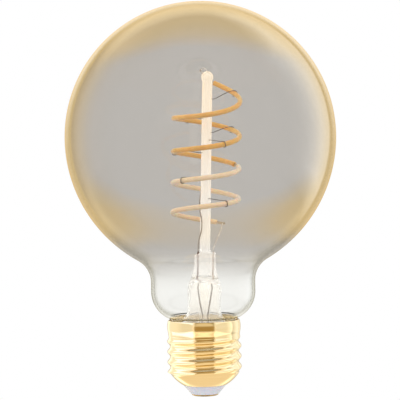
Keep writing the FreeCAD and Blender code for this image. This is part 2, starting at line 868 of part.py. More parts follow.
def radio_module():
    """The upright daughter board with its shielded radio chip, clock crystal, antenna and header pins."""
    foot = f"{BOARD_TOP} + 0.6"
    box("radio_board", "radio_width", "radio_thickness", "radio_height", "-radio_width / 2", "radio_front", foot)
    face = "radio_front + radio_thickness"
    can_left, can_foot = "-radio_width / 2 + 0.5", f"{foot} + 0.6"
    can = box("can_outside", "can_width", "can_depth", "can_height", can_left, face, can_foot)
    room = box("can_inside", "can_width - 2 * can_wall", "can_depth", "can_height - 2 * can_wall",
               f"{can_left} + can_wall", f"{face} - can_wall", f"{can_foot} + can_wall")
    combined("Cut", "radio_shield_can", can, room)
    box("radio_chip", "radio_chip_side", "radio_chip_depth", "radio_chip_side",
        f"{can_left} + can_width / 2 - radio_chip_side / 2", face,
        f"{can_foot} + can_height / 2 - radio_chip_side / 2")
    box("clock_crystal", "crystal_width", "crystal_depth", "crystal_height",
        f"{can_left} + can_width + 0.9", face, f"{foot} + 1.2")
    box("chip_antenna", "antenna_width - 1", "antenna_depth", "antenna_height",
        f"{can_left} + can_width + 0.4", face, f"{foot} + radio_height - antenna_height - 0.4")
    pins = []
    side, count = size("header_pin_side"), round(size("header_pin_count"))
    for i in range(count):
        x = (i - (count - 1) / 2) * size("header_pin_pitch") - side / 2
        corner = Vector(x, size("radio_front") - side, size("board_bottom + board_thickness"))
        pins.append(Part.makeBox(side, side, 2.2, corner))
    feature("header_pins", Part.makeCompound(pins))


def smoothing_capacitor():
    """A radial can capacitor lying under the board, with its rubber bung and two bent legs."""
    left = "-capacitor_length / 2"
    cylinder("capacitor_can", "capacitor_radius", "capacitor_length - 0.8", f"{left} + 0.8", "capacitor_back",
             "capacitor_centre_height - 0.05", along="X")
    cylinder("capacitor_bung", "capacitor_radius - 0.35", "0.8", left, "capacitor_back",
             "capacitor_centre_height - 0.05", along="X")
    legs = []
    for side in (-1, 1):
        start = Vector(size(left) , size("capacitor_back") + side, size("capacitor_centre_height") - 0.05)
        legs.append(
            wire_along([start, start + Vector(-1.2, 0, 0),
                        Vector(start.x - 1.2, start.y, size("board_bottom"))], 0.22)
        )
    feature("capacitor_legs", Part.makeCompound(legs))


def choke():
    """A drum core with its winding, standing under the board."""
    top = "board_bottom"
    core = revolved(
        "choke_drum",
        [
            ("0", f"{top} - choke_height"),
            ("choke_radius", f"{top} - choke_height"),
            ("choke_radius", f"{top} - choke_height + choke_flange"),
            ("choke_core_radius", f"{top} - choke_height + choke_flange"),
            ("choke_core_radius", f"{top} - choke_flange"),
            ("choke_radius", f"{top} - choke_flange"),
            ("choke_radius", top),
            ("0", top),
        ],
    )
    winding = revolved(
        "choke_winding",
        [
            ("choke_core_radius", f"{top} - choke_height + choke_flange"),
            ("choke_radius - 0.35", f"{top} - choke_height + choke_flange"),
            ("choke_radius - 0.35", f"{top} - choke_flange"),
            ("choke_core_radius", f"{top} - choke_flange"),
        ],
    )
    core.Label = "choke_core"
    for item in (core, winding):
        placed(item, x="choke_left", y="choke_front")


def board_parts():
    """The flat parts: bridge rectifier, driver chip, fusible resistor and the small chip parts."""
    box("bridge_rectifier", "bridge_width", "bridge_depth", "bridge_height", "1.2", "-bridge_depth - 0.6",
        "board_bottom - bridge_height")
    box("driver_chip", "driver_chip_width", "driver_chip_depth", "driver_chip_height", "-9", "-1.6", BOARD_TOP)
    cylinder("fusible_resistor", "resistor_radius", "resistor_length", "-resistor_length / 2 + 1", "-7.4",
             "board_bottom - resistor_radius - 0.25", along="X")
    legs = []
    for side in (-1, 1):
        x = 1 + side * size("resistor_length / 2")
        height = size("board_bottom - resistor_radius - 0.25")
        start = Vector(x, -7.4, height)
        legs.append(
            wire_along([start, start + Vector(side * 1.0, 0, 0),
                        Vector(x + side * 1.0, -7.4, size("board_bottom"))], 0.22)
        )
    feature("resistor_legs", Part.makeCompound(legs))
    spots = ((5.4, -2.0), (5.4, 0.0), (7.6, -1.0), (6.4, 2.0), (-7.4, -4.4), (-5.0, -4.6))
    small = [
        Part.makeBox(size("chip_part_length"), size("chip_part_width"), size("chip_part_height"),
                     Vector(x, y, size(BOARD_TOP)))
        for x, y in spots
    ]
    feature("chip_resistors_and_capacitors", Part.makeCompound(small))


def side_feed():
    """The wire from the board's edge to the shell, clamped by the cement."""
    edge = -size("board_radius") + 0.15
    inside = size("skirt_diameter / 2 - shell_wall") - size("supply_wire_radius")
    return [
        Vector(edge, 0, size("board_bottom") - 0.6),
        Vector(edge, 0, size("liner_top") + 0.1),
        Vector(-inside + 0.1, 0, size("liner_top") + 1.1),
        Vector(-inside, 0, size("liner_top") + 3.0),
    ]


def centre_feed():
    """The wire from the board's front edge down to the nail's shank."""
    front = -size("board_radius") + 0.2
    return [
        Vector(0, front, size("board_bottom + board_thickness") + 0.5),
        Vector(0, front, size("board_bottom") - 3.0),
        Vector(0, front + 4.6, size("shank_top") + 0.9),
        Vector(0, -0.6, size("shank_top") + size("supply_wire_radius")),
        Vector(0, 0.8, size("shank_top") + size("supply_wire_radius")),
    ]


def solder_joints():
    """Domed joints on top of the board where the ferrules and the legs come through."""
    spots = [(ferrule_place(side).x + side * 1.4, size("ferrule_front")) for side in (-1, 1)]
    spots += [(size("-capacitor_length / 2") - 1.2, size("capacitor_back") + side) for side in (-1, 1)]
    domes = []
    for x, y in spots:
        ball = Part.makeSphere(0.6, Vector(x, y, size(BOARD_TOP)), Vector(0, 0, 1), 0, 90, 360)
        domes.append(ball)
    return Part.makeCompound(domes)


# ---- assembly ------------------------------------------------------------------------------------------------

NODES = [
    "glass_envelope", "stem_flare", "exhaust_tube", "glass_post",
    "upper_phosphor_coat", "upper_filament_carrier", "upper_led_chips",
    "lower_phosphor_coat", "lower_filament_carrier", "lower_led_chips", "filament_end_tabs",
    "support_wires", "anchor_wire", "left_inner_lead", "right_inner_lead", "dumet_wires", "outer_leads",
    "screw_shell", "base_insulator", "centre_contact", "capping_cement", "insulating_liner",
    "driver_board", "lead_ferrules", "solder_joints", "side_feed_wire", "centre_feed_wire",
    "radio_board", "radio_shield_can", "radio_chip", "clock_crystal", "chip_antenna", "header_pins",
    "capacitor_can", "capacitor_bung", "capacitor_legs", "choke_core", "choke_winding",
    "bridge_rectifier", "driver_chip", "fusible_resistor", "resistor_legs", "chip_resistors_and_capacitors",
]  # fmt: skip


def build():
    envelope = glass_envelope()
    dumet = lean(feature("dumet_wires", dumet_wires()))
    supports = lean(feature("support_wires", support_wires()))
    anchor = lean(feature("anchor_wire", anchor_wire()))
    DOC.recompute()
    stem_flare(envelope, dumet)
    exhaust_tube()
    glass_post(fused("post_wires", [supports, anchor]))
    filament_strip("upper", size("upper_strip_start"), size("upper_strip_end"))
    filament_strip("lower", size("lower_strip_start"), size("lower_strip_end"))
    filament_tabs()
    for name, wire in zip(("left_inner_lead", "right_inner_lead"), inner_leads()):
        lean(feature(name, wire))
    feature("outer_leads", outer_leads())
    screw_shell()
    base_insulator()
    centre_contact()
    side_wire = feature("side_feed_wire", wire_along(side_feed(), size("supply_wire_radius")))
    feature("centre_feed_wire", wire_along(centre_feed(), size("supply_wire_radius")))
    capping_cement(envelope, side_wire)
    insulating_liner()
    driver_board()
    feature("lead_ferrules", lead_ferrules())
    feature("solder_joints", solder_joints())
    radio_module()
    smoothing_capacitor()
    choke()
    board_parts()
    DOC.recompute()


def check():
    """Stops the build if any object failed, or any node's shape is missing or invalid."""
    for item in DOC.Objects:
        if any(word in ("Invalid", "Error") for word in item.State):
            raise ValueError(f"{item.Label} failed: {item.State}")
    found = {item.Label: item for item in DOC.Objects}
    for name in NODES:
        shape = found[name].Shape
        if shape.isNull() or not shape.isValid() or not shape.Solids:
            raise ValueError(f"{name} has no valid solid")
    return found


def main():
    build()
    found = check()
    os.makedirs("parts", exist_ok=True)
    for name in NODES:
        shape = found[name].Shape
        solids = shape.Solids
        shape = solids[0] if len(solids) == 1 else Part.makeCompound(solids)
        shape.exportStep(os.path.join("parts", name + ".step"))
        print(f"{name:32s} {len(solids):4d} solids {sum(s.Volume for s in solids):12.3f} mm3")


main()
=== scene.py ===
"""Looks of a spiral filament bulb: a gold-coated glass globe, its stem and coil, and a gold-plated screw cap.

Every piece is in metres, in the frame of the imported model. +Z runs from the cap to the globe, and the front
faces -Y.
"""

from __future__ import annotations

import json
import logging
import math
import random
from collections.abc import Mapping, Sequence
from dataclasses import dataclass
from enum import Enum

import bpy
from mathutils import Matrix, Vector

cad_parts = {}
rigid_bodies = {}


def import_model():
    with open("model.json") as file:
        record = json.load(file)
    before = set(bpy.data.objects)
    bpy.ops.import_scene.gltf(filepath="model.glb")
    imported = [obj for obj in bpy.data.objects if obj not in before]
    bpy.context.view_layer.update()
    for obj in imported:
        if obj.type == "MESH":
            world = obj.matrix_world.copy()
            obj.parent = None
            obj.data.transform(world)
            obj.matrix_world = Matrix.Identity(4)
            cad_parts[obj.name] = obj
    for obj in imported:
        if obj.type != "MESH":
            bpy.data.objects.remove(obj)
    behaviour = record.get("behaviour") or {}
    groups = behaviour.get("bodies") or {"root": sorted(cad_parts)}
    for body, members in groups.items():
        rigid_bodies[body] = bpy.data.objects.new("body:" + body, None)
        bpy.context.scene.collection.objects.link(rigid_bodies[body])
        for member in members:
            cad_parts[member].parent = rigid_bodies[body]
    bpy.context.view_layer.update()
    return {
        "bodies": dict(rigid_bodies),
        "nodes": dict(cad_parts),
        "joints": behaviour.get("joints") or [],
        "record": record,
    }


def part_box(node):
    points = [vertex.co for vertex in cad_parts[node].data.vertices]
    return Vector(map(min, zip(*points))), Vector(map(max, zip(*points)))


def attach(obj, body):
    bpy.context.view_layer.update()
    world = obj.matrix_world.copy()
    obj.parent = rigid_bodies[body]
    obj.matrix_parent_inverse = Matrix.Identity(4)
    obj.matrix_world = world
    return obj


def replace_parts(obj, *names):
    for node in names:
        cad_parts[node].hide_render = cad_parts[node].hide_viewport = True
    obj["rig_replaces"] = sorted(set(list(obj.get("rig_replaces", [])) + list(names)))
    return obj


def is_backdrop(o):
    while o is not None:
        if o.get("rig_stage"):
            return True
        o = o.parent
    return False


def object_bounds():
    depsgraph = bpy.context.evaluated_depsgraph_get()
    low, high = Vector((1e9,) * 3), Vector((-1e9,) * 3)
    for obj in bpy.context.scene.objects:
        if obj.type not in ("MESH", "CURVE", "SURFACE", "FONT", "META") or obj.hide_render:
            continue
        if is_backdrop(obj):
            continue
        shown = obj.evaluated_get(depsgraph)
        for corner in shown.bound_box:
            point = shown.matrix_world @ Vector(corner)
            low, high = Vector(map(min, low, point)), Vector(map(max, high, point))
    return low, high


LOG = logging.getLogger("bulb")
MM = 0.001
FALLING = (1.0, 0.0)
TINY = 1e-7
GLASS_IOR = 1.5
Colour = tuple[float, float, float]
Point2 = tuple[float, float]
Row3 = tuple[float, float, float]
Tone = Colour | str
Piece = bpy.types.Object
Socket = bpy.types.NodeSocket


# ---- mesh tools ----


def linear(tone: Tone) -> Colour:
    """The linear colour of a hex code. A colour that is already linear stays as it is.

    Args:
        tone: six hex digits, red first, or linear red, green and blue.

    Returns:
        Linear red, green and blue.
    """
    if not isinstance(tone, str):
        return tone
    channels = [int(tone[i : i + 2], 16) / 255 for i in (0, 2, 4)]
    return tuple(c / 12.92 if c <= 0.04045 else ((c + 0.055) / 1.055) ** 2.4 for c in channels)


def around(segments: int) -> list[float]:
    """The angles of evenly spaced points round a circle."""
    return [2 * math.pi * i / segments for i in range(segments)]


def in_mm(rows: Sequence[Point2]) -> list[Point2]:
    """Points given in mm, in metres."""
    return [(radius * MM, height * MM) for radius, height in rows]


def smooth(low: float, high: float, value: float) -> float:
    """A smooth step from 0 at low to 1 at high."""
    t = min(max((value - low) / (high - low), 0.0), 1.0)
    return t * t * (3 - 2 * t)


def along_keys(keys: Sequence[Sequence[float]], at: float) -> list[float]:
    """Smoothly interpolated values of rows that start with their own position.

    Args:
        keys: rows of (position, value, value, ...), in rising order.
        at: the position wanted.

    Returns:
        The values at that position.
    """
    for before, after in zip(keys, keys[1:]):
        if at <= after[0]:
            share = smooth(before[0], after[0], at)
            return [a + (b - a) * share for a, b in zip(before[1:], after[1:])]
    return list(keys[-1][1:])


def arc(centre: Point2, radius: float, first: float, last: float, steps: int) -> list[Point2]:
    """Points of an arc in the profile plane.

    Args:
        centre: the arc's centre as (radius from the axis, height).
        radius: the arc's radius.
        first: the first angle, in radians, from the outward direction.
        last: the last angle.
        steps: how many spans to make.

    Returns:
        The points from the first angle to the last.
    """
    angles = [first + (last - first) * i / steps for i in range(steps + 1)]
    return [(centre[0] + radius * math.cos(a), centre[1] + radius * math.sin(a)) for a in angles]


def make_object(
    name: str, points: Sequence[Vector], faces: Sequence[Sequence[int]], crease: float = 40
) -> Piece:
    """A smooth-shaded mesh object in the scene.

    Args:
        name: the piece's name.
        points: the vertices.
        faces: the faces, as rows of vertex numbers.
        crease: edges sharper than this many degrees stay sharp.

    Returns:
        The new object.
    """
    mesh = bpy.data.meshes.new(name)
    mesh.from_pydata([tuple(p) for p in points], [], [tuple(f) for f in faces])
    mesh.validate()
    mesh.shade_smooth()
    mesh.set_sharp_from_angle(angle=math.radians(crease))
    piece = bpy.data.objects.new(name, mesh)
    bpy.context.scene.collection.objects.link(piece)
    return piece


class Skin:
    """Faces between rings of points, gathered into one mesh."""

    def __init__(self) -> None:
        """Starts with no points and no faces."""
        self.points: list[Vector] = []
        self.faces: list[tuple[int, ...]] = []
        self.groups: list[int] = []

    def wrap(
        self, rings: Sequence[Sequence[Vector]], closed: bool = False, group: int = 0, capped: bool = True
    ) -> None:
        """Joins rings of equal length with quads.

        Args:
            rings: the rings, in order. A ring of one point is a pole.
            closed: whether the last ring joins the first, as on a ring-shaped solid.
            group: the material number of these faces.
            capped: whether a face closes each open end.
        """
        starts = []
        for ring in rings:
            starts.append(len(self.points))
            self.points += list(ring)
        before = len(self.faces)
        count = max(len(ring) for ring in rings)
        pairs = [(i, i + 1) for i in range(len(rings) - 1)]
        if closed:
            pairs.append((len(rings) - 1, 0))
        for a, b in pairs:
            for i in range(count):
                j = (i + 1) % count
                here = (starts[a] + i, starts[a] + j) if len(rings[a]) > 1 else (starts[a],)
                there = (starts[b] + j, starts[b] + i) if len(rings[b]) > 1 else (starts[b],)
                self.faces.append(here + there)
        if capped and not closed:
            for start, ring, step in ((starts[0], rings[0], -1), (starts[-1], rings[-1], 1)):
                if len(ring) > 1:
                    self.faces.append(tuple(range(start, start + count))[::step])
        self.groups += [group] * (len(self.faces) - before)

    def build(self, name: str, crease: float = 40) -> Piece:
        """Makes the object of everything wrapped so far, with its material numbers.

        Args:
            name: the piece's name.
            crease: edges sharper than this many degrees stay sharp.

        Returns:
            The new object.
        """
        piece = make_object(name, self.points, self.faces, crease)
        for _ in range(max(self.groups) + 1):
            piece.data.materials.append(None)
        for face, group in zip(piece.data.polygons, self.groups):
            face.material_index = group
        return piece


def turned_rings(outline: Sequence[Point2], segments: int) -> list[list[Vector]]:
    """Rings about the Z axis through an outline.

    Args:
        outline: (radius, height) points. A radius of 0 makes a pole.
        segments: how many points each ring has.

    Returns:
        One ring for each outline point, anticlockwise from above.
    """
    rings = []
    for radius, height in outline:
        if radius < TINY:
            rings.append([Vector((0.0, 0.0, height))])
            continue
        angles = around(segments)
        rings.append([Vector((radius * math.cos(a), radius * math.sin(a), height)) for a in angles])
    return rings


def turned(name: str, outline: Sequence[Point2], segments: int = 128) -> Piece:
    """A solid turned from an outline that starts and ends on the axis, or that closes on itself.

    Args:
        name: the piece's name.
        outline: (radius, height) points, anticlockwise with the axis on the left.
        segments: how many points each ring has.

    Returns:
        The new object.
    """
    skin = Skin()
    skin.wrap(turned_rings(outline, segments), closed=outline[0][0] > TINY)
    return skin.build(name)


# ---- material tools ----


class Graph:
    """A material's node tree, with short ways to add and join nodes."""

    def __init__(self, tree: bpy.types.NodeTree) -> None:
        """Empties the tree."""
        self.tree = tree
        self.tree.nodes.clear()

    def node(
        self, kind: str, inputs: Mapping[str | int, object] | None = None, **settings: object
    ) -> bpy.types.Node:
        """Adds a node.

        Args:
            kind: the node's type, without "ShaderNode".
            inputs: values, or sockets to link, by input name or number.
            settings: the node's own properties.

        Returns:
            The new node.
        """
        made = self.tree.nodes.new("ShaderNode" + kind)
        for key, value in settings.items():
            setattr(made, key, value)
        for key, value in (inputs or {}).items():
            if isinstance(value, Socket):
                self.tree.links.new(value, made.inputs[key])
            elif isinstance(value, tuple) and len(value) == 3 and made.inputs[key].type == "RGBA":
                made.inputs[key].default_value = (*value, 1.0)
            else:
                made.inputs[key].default_value = value
        return made

    def place(self, stretch: Colour = (1.0, 1.0, 1.0)) -> Socket:
        """Object coordinates, stretched by a factor along each axis."""
        coordinates = self.node("TexCoord").outputs["Object"]
        return self.node("Mapping", {"Vector": coordinates, "Scale": stretch}).outputs[0]

    def noise(self, scale: float, detail: float = 3, where: Socket | None = None) -> Socket:
        """Noise from 0 to 1 with features of 1 / scale metres."""
        inputs = {"Vector": where or self.place(), "Scale": scale, "Detail": detail}
        return self.node("TexNoise", inputs).outputs["Fac"]

    def axis(self, name: str) -> Socket:
        """One of the object coordinates."""
        return self.node("SeparateXYZ", {0: self.place()}).outputs[name]

    def slant(self) -> Socket:
        """0 where a face is seen square on, and 1 where it is seen edge-on."""
        return self.node("LayerWeight", {"Blend": 0.5}).outputs["Facing"]

    def bump(self, height: Socket, strength: float, distance: float) -> Socket:
        """The normal of a surface with this relief."""
        return self.node("Bump", {"Height": height, "Strength": strength, "Distance": distance}).outputs[0]

    def math(self, operation: str, a: object, b: object = 0.0, clamp: bool = False) -> Socket:
        """The result of a sum, product or power of two values."""
        return self.node("Math", {0: a, 1: b}, operation=operation, use_clamp=clamp).outputs[0]

    def times(self, first: Socket, *more: Socket) -> Socket:
        """The product of several values.

        Args:
            first: the first value.
            more: the other values.

        Returns:
            The product.
        """
        for value in more:
            first = self.math("MULTIPLY", first, value)
        return first

    def spread(
        self, value: Socket, source: Point2, target: Point2 = (0.0, 1.0), soft: bool = False
    ) -> Socket:
        """A value moved from one range to another, and held at its ends.

        Args:
            value: the value.
            source: the range that it comes from.
            target: the range that it goes to.
            soft: whether it eases in and out.

        Returns:
            The moved value.
        """
        inputs = {"Value": value, "From Min": source[0], "From Max": source[1]}
        inputs |= {"To Min": target[0], "To Max": target[1]}
        kind = "SMOOTHSTEP" if soft else "LINEAR"
        return self.node("MapRange", inputs, interpolation_type=kind).outputs["Result"]

    def blend(self, factor: object, a: object, b: object) -> Socket:
        """Colour a at a factor of 0 and colour b at a factor of 1."""
        return self.node("Mix", {0: factor, 6: a, 7: b}, data_type="RGBA").outputs[2]

    def either(self, factor: object, a: bpy.types.Node, b: bpy.types.Node) -> bpy.types.Node:
        """Shader a at a factor of 0 and shader b at a factor of 1."""
        return self.node("MixShader", {0: factor, 1: a.outputs[0], 2: b.outputs[0]})

    def show(self, shader: bpy.types.Node, kind: str = "OutputMaterial") -> None:
        """Sends a shader to the output."""
        self.tree.links.new(shader.outputs[0], self.node(kind).inputs["Surface"])


class Pattern(Enum):
    """How a finish varies over its surface."""

    GRAIN = "grain"
    BRUSHED = "brushed"
    TURNED = "turned"
    DRAWN = "drawn"
    MOTTLED = "mottled"
    WOUND = "wound"
    TRACES = "traces"


# the detail and the stretch of each pattern that is drawn out along an axis or around it
DRAWN_OUT = {
    Pattern.BRUSHED: (4, (1.0, 1.0, 0.04)),
    Pattern.TURNED: (4, (0.04, 0.04, 1.0)),
    Pattern.DRAWN: (2, (1.0, 1.0, 0.15)),
}


@dataclass(frozen=True)
class Finish:
    """What every finish has: its name, which is also its slot in the record."""

    slot: str

    def draw(self, graph: Graph) -> None:
        """Fills the material's nodes."""
        raise NotImplementedError

    def material(self) -> bpy.types.Material:
        """The material of this finish, made once.

        Returns:
            The material.
        """
        found = bpy.data.materials.get("finish_" + self.slot)
        if found is None:
            found = bpy.data.materials.new("finish_" + self.slot)
            found.use_nodes = True
            self.draw(Graph(found.node_tree))
        return found

    def dress(self, piece: Piece, place: int = 0) -> None:
        """Puts the material in one of the piece's slots.

        Args:
            piece: the piece to dress.
            place: the number of the material slot.
        """
        while len(piece.material_slots) <= place:
            piece.data.materials.append(None)
        piece.material_slots[place].material = self.material()


@dataclass(frozen=True)
class Surface(Finish):
    """An opaque finish whose colour, gloss and relief follow one pattern, with handling marks over it.

    Lengths are in metres, and scale is how many features there are in a metre.
    """

    light: Tone
    dark: Tone
    pattern: Pattern = Pattern.GRAIN
    scale: float = 2500
    gloss: Point2 = (0.3, 0.45)
    relief: float = 0.00002
    metallic: float = 0.0
    coat: float = 0.0
    coat_roughness: float = 0.06
    sheen: float = 0.0
    sheen_tint: Colour = (1.0, 1.0, 1.0)
    glow: float = 0.0
    glow_depth: float = 0.0008
    mark_scale: float = 180
    mark_share: float = 0.22

    def variation(self, graph: Graph) -> Socket:
        """The pattern's factor, from 0 to 1.

        Args:
            graph: the graph to add to.

        Returns:
            The factor.
        """
        if self.pattern in DRAWN_OUT:
            detail, stretch = DRAWN_OUT[self.pattern]
            return graph.noise(self.scale, detail, graph.place(stretch))
        if self.pattern is Pattern.GRAIN:
            return graph.noise(self.scale, 5)
        inputs = {"Vector": graph.place(), "Scale": self.scale}
        if self.pattern is Pattern.WOUND:
            return graph.node("TexWave", inputs | {"Distortion": 0.4}, bands_direction="Z").outputs["Fac"]
        if self.pattern is Pattern.TRACES:
            cells = graph.node("TexVoronoi", inputs, feature="DISTANCE_TO_EDGE")
            return graph.spread(cells.outputs["Distance"], (0.02, 0.09))
        lumps = graph.spread(graph.node("TexVoronoi", inputs).outputs["Distance"], (0.1, 0.7), (0.2, 1.0))
        return graph.times(lumps, graph.noise(self.scale * 0.45, 6))

    def retinted(self, graph: Graph, colour: Socket) -> Socket:
        """The colour after a change of tone that some finishes have. Most finishes stay as they are."""
        return colour

    def draw(self, graph: Graph) -> None:
        """Fills the material's nodes.

        Args:
            graph: the graph to fill.
        """
        light, dark = linear(self.light), linear(self.dark)
        fine = self.variation(graph)
        marks = graph.noise(self.mark_scale, 6)
        plain = graph.blend(graph.spread(fine, (0.15, 0.85)), dark, light)
        marked = graph.blend(graph.spread(marks, (0.3, 0.75), (0.0, self.mark_share)), plain, dark)
        inputs = {
            "Base Color": self.retinted(graph, marked),
            "Metallic": self.metallic,
            "Roughness": graph.spread(marks, (0.3, 0.7), self.gloss),
            "Coat Weight": self.coat,
            "Coat Roughness": self.coat_roughness,
            "Sheen Weight": self.sheen,
            "Sheen Tint": self.sheen_tint,
            "Subsurface Weight": self.glow,
            "Subsurface Scale": self.glow_depth,
            "Normal": graph.bump(fine, 0.6, self.relief),
        }
        graph.show(graph.node("BsdfPrincipled", inputs))


@dataclass(frozen=True)
class PairedWire(Surface):
    """Wire of a left and a right run. The right-hand one is paler."""

    pale: Colour = (0.62, 0.50, 0.40)
    between: float = 0.0012

    def retinted(self, graph: Graph, colour: Socket) -> Socket:
        """The colour, paler on the right-hand wire."""
        share = graph.spread(graph.axis("X"), (0.0, self.between), (0.0, 0.85))
        return graph.blend(share, colour, self.pale)


@dataclass(frozen=True)
class ClearGlass(Finish):
    """Blown or drawn soda glass with a very slight ripple.

    Light for what it shuts in passes straight through.
    """

    tint: Colour = (0.985, 0.985, 0.975)
    edge: Colour = (0.56, 0.56, 0.50)
    edge_range: Point2 = (0.56, 0.92)
    ripple: float = 0.00002
    ripple_scale: float = 220
    smears: Point2 = (0.0, 0.015)

    def bent(self, graph: Graph) -> Socket:
        """The glass's slightly uneven normal."""
        wave = graph.noise(self.ripple_scale, 2, graph.place((1.0, 1.0, 0.35)))
        return graph.bump(wave, 0.4, self.ripple)

    def haze(self, graph: Graph) -> Socket:
        """The glass's roughness, which is higher in faint smears."""
        return graph.spread(graph.noise(900, 4), (0.45, 0.8), self.smears)

    def edge_tint(self, graph: Graph) -> Socket:
        """The glass's colour, darker where a line of sight runs along the wall."""
        return graph.blend(graph.spread(graph.slant(), self.edge_range, soft=True), self.tint, self.edge)

    def opened(self, graph: Graph, glass: bpy.types.Node) -> bpy.types.Node:
        """The glass for rays that see it, and a clear pass for rays that only carry light through it.

        Args:
            graph: the graph to add to.
            glass: the glass's shader.

        Returns:
            The two shaders in one.
        """
        path = graph.node("LightPath").outputs
        light = graph.math("MAXIMUM", path["Is Shadow Ray"], path["Is Diffuse Ray"])
        return graph.either(light, glass, graph.node("BsdfTransparent", {"Color": self.tint}))

    def draw(self, graph: Graph) -> None:
        """Fills the material's nodes.

        Args:
            graph: the graph to fill.
        """
        inputs = {"Color": self.edge_tint(graph), "Roughness": self.haze(graph), "Normal": self.bent(graph)}
        glass = graph.node("BsdfGlass", inputs | {"IOR": GLASS_IOR})
        graph.show(self.opened(graph, glass))


@dataclass(frozen=True)
class StemGlass(ClearGlass):
    """Drawn glass that has been worked hot: milky in the rod and the press, clearer down the flare. Its milk
    turns cream towards the top with painted warm light from inside the globe, and the milky part has a
    painted glow.
    """

    smears: Point2 = (0.02, 0.06)
    # the milk at the top, cream with painted warm light from inside the globe, and the whiter milk lower down
    milk_and_warm_light: Colour = (1.0, 0.90, 0.76)
    milk_low: Colour = (0.98, 0.965, 0.945)
    cream_rise: Point2 = (0.060, 0.105)
    milky_rise: Point2 = (0.036, 0.056)
    clear_share: Point2 = (0.94, 0.42)
    edge_turn: Point2 = (0.10, 0.50)
    # the strength of the painted glow, low and high in the milky part
    painted_glow: Point2 = (0.02, 0.26)
    streak_scale: float = 700
    streak_share: float = 0.14

    def draw(self, graph: Graph) -> None:
        """Fills the material's nodes.

        Args:
            graph: the graph to fill.
        """
        height = graph.axis("Z")
        clear = graph.spread(height, self.milky_rise, self.clear_share, soft=True)
        clear = graph.spread(graph.slant(), self.edge_turn, (clear, 1.0), soft=True)
        drawn = graph.noise(self.streak_scale, 3, graph.place((1.0, 1.0, 0.12)))
        streaks = graph.spread(drawn, (0.3, 0.8), (0.0, self.streak_share))
        # the milk turns cream upwards: painted warm light from inside the globe
        milk_and_warm_light = graph.blend(graph.spread(height, self.cream_rise), self.milk_low, self.milk_and_warm_light)
        inputs = {
            "Base Color": milk_and_warm_light,
            "Roughness": self.haze(graph),
            "IOR": GLASS_IOR,
            "Transmission Weight": graph.math("SUBTRACT", clear, streaks, clamp=True),
            # the milky glass glows in its own colour: a painted glow, though the stem is no lamp
            "Emission Color": milk_and_warm_light,
            "Emission Strength": graph.spread(height, self.milky_rise, self.painted_glow),
            "Normal": self.bent(graph),
        }
        graph.show(self.opened(graph, graph.node("BsdfPrincipled", inputs)))


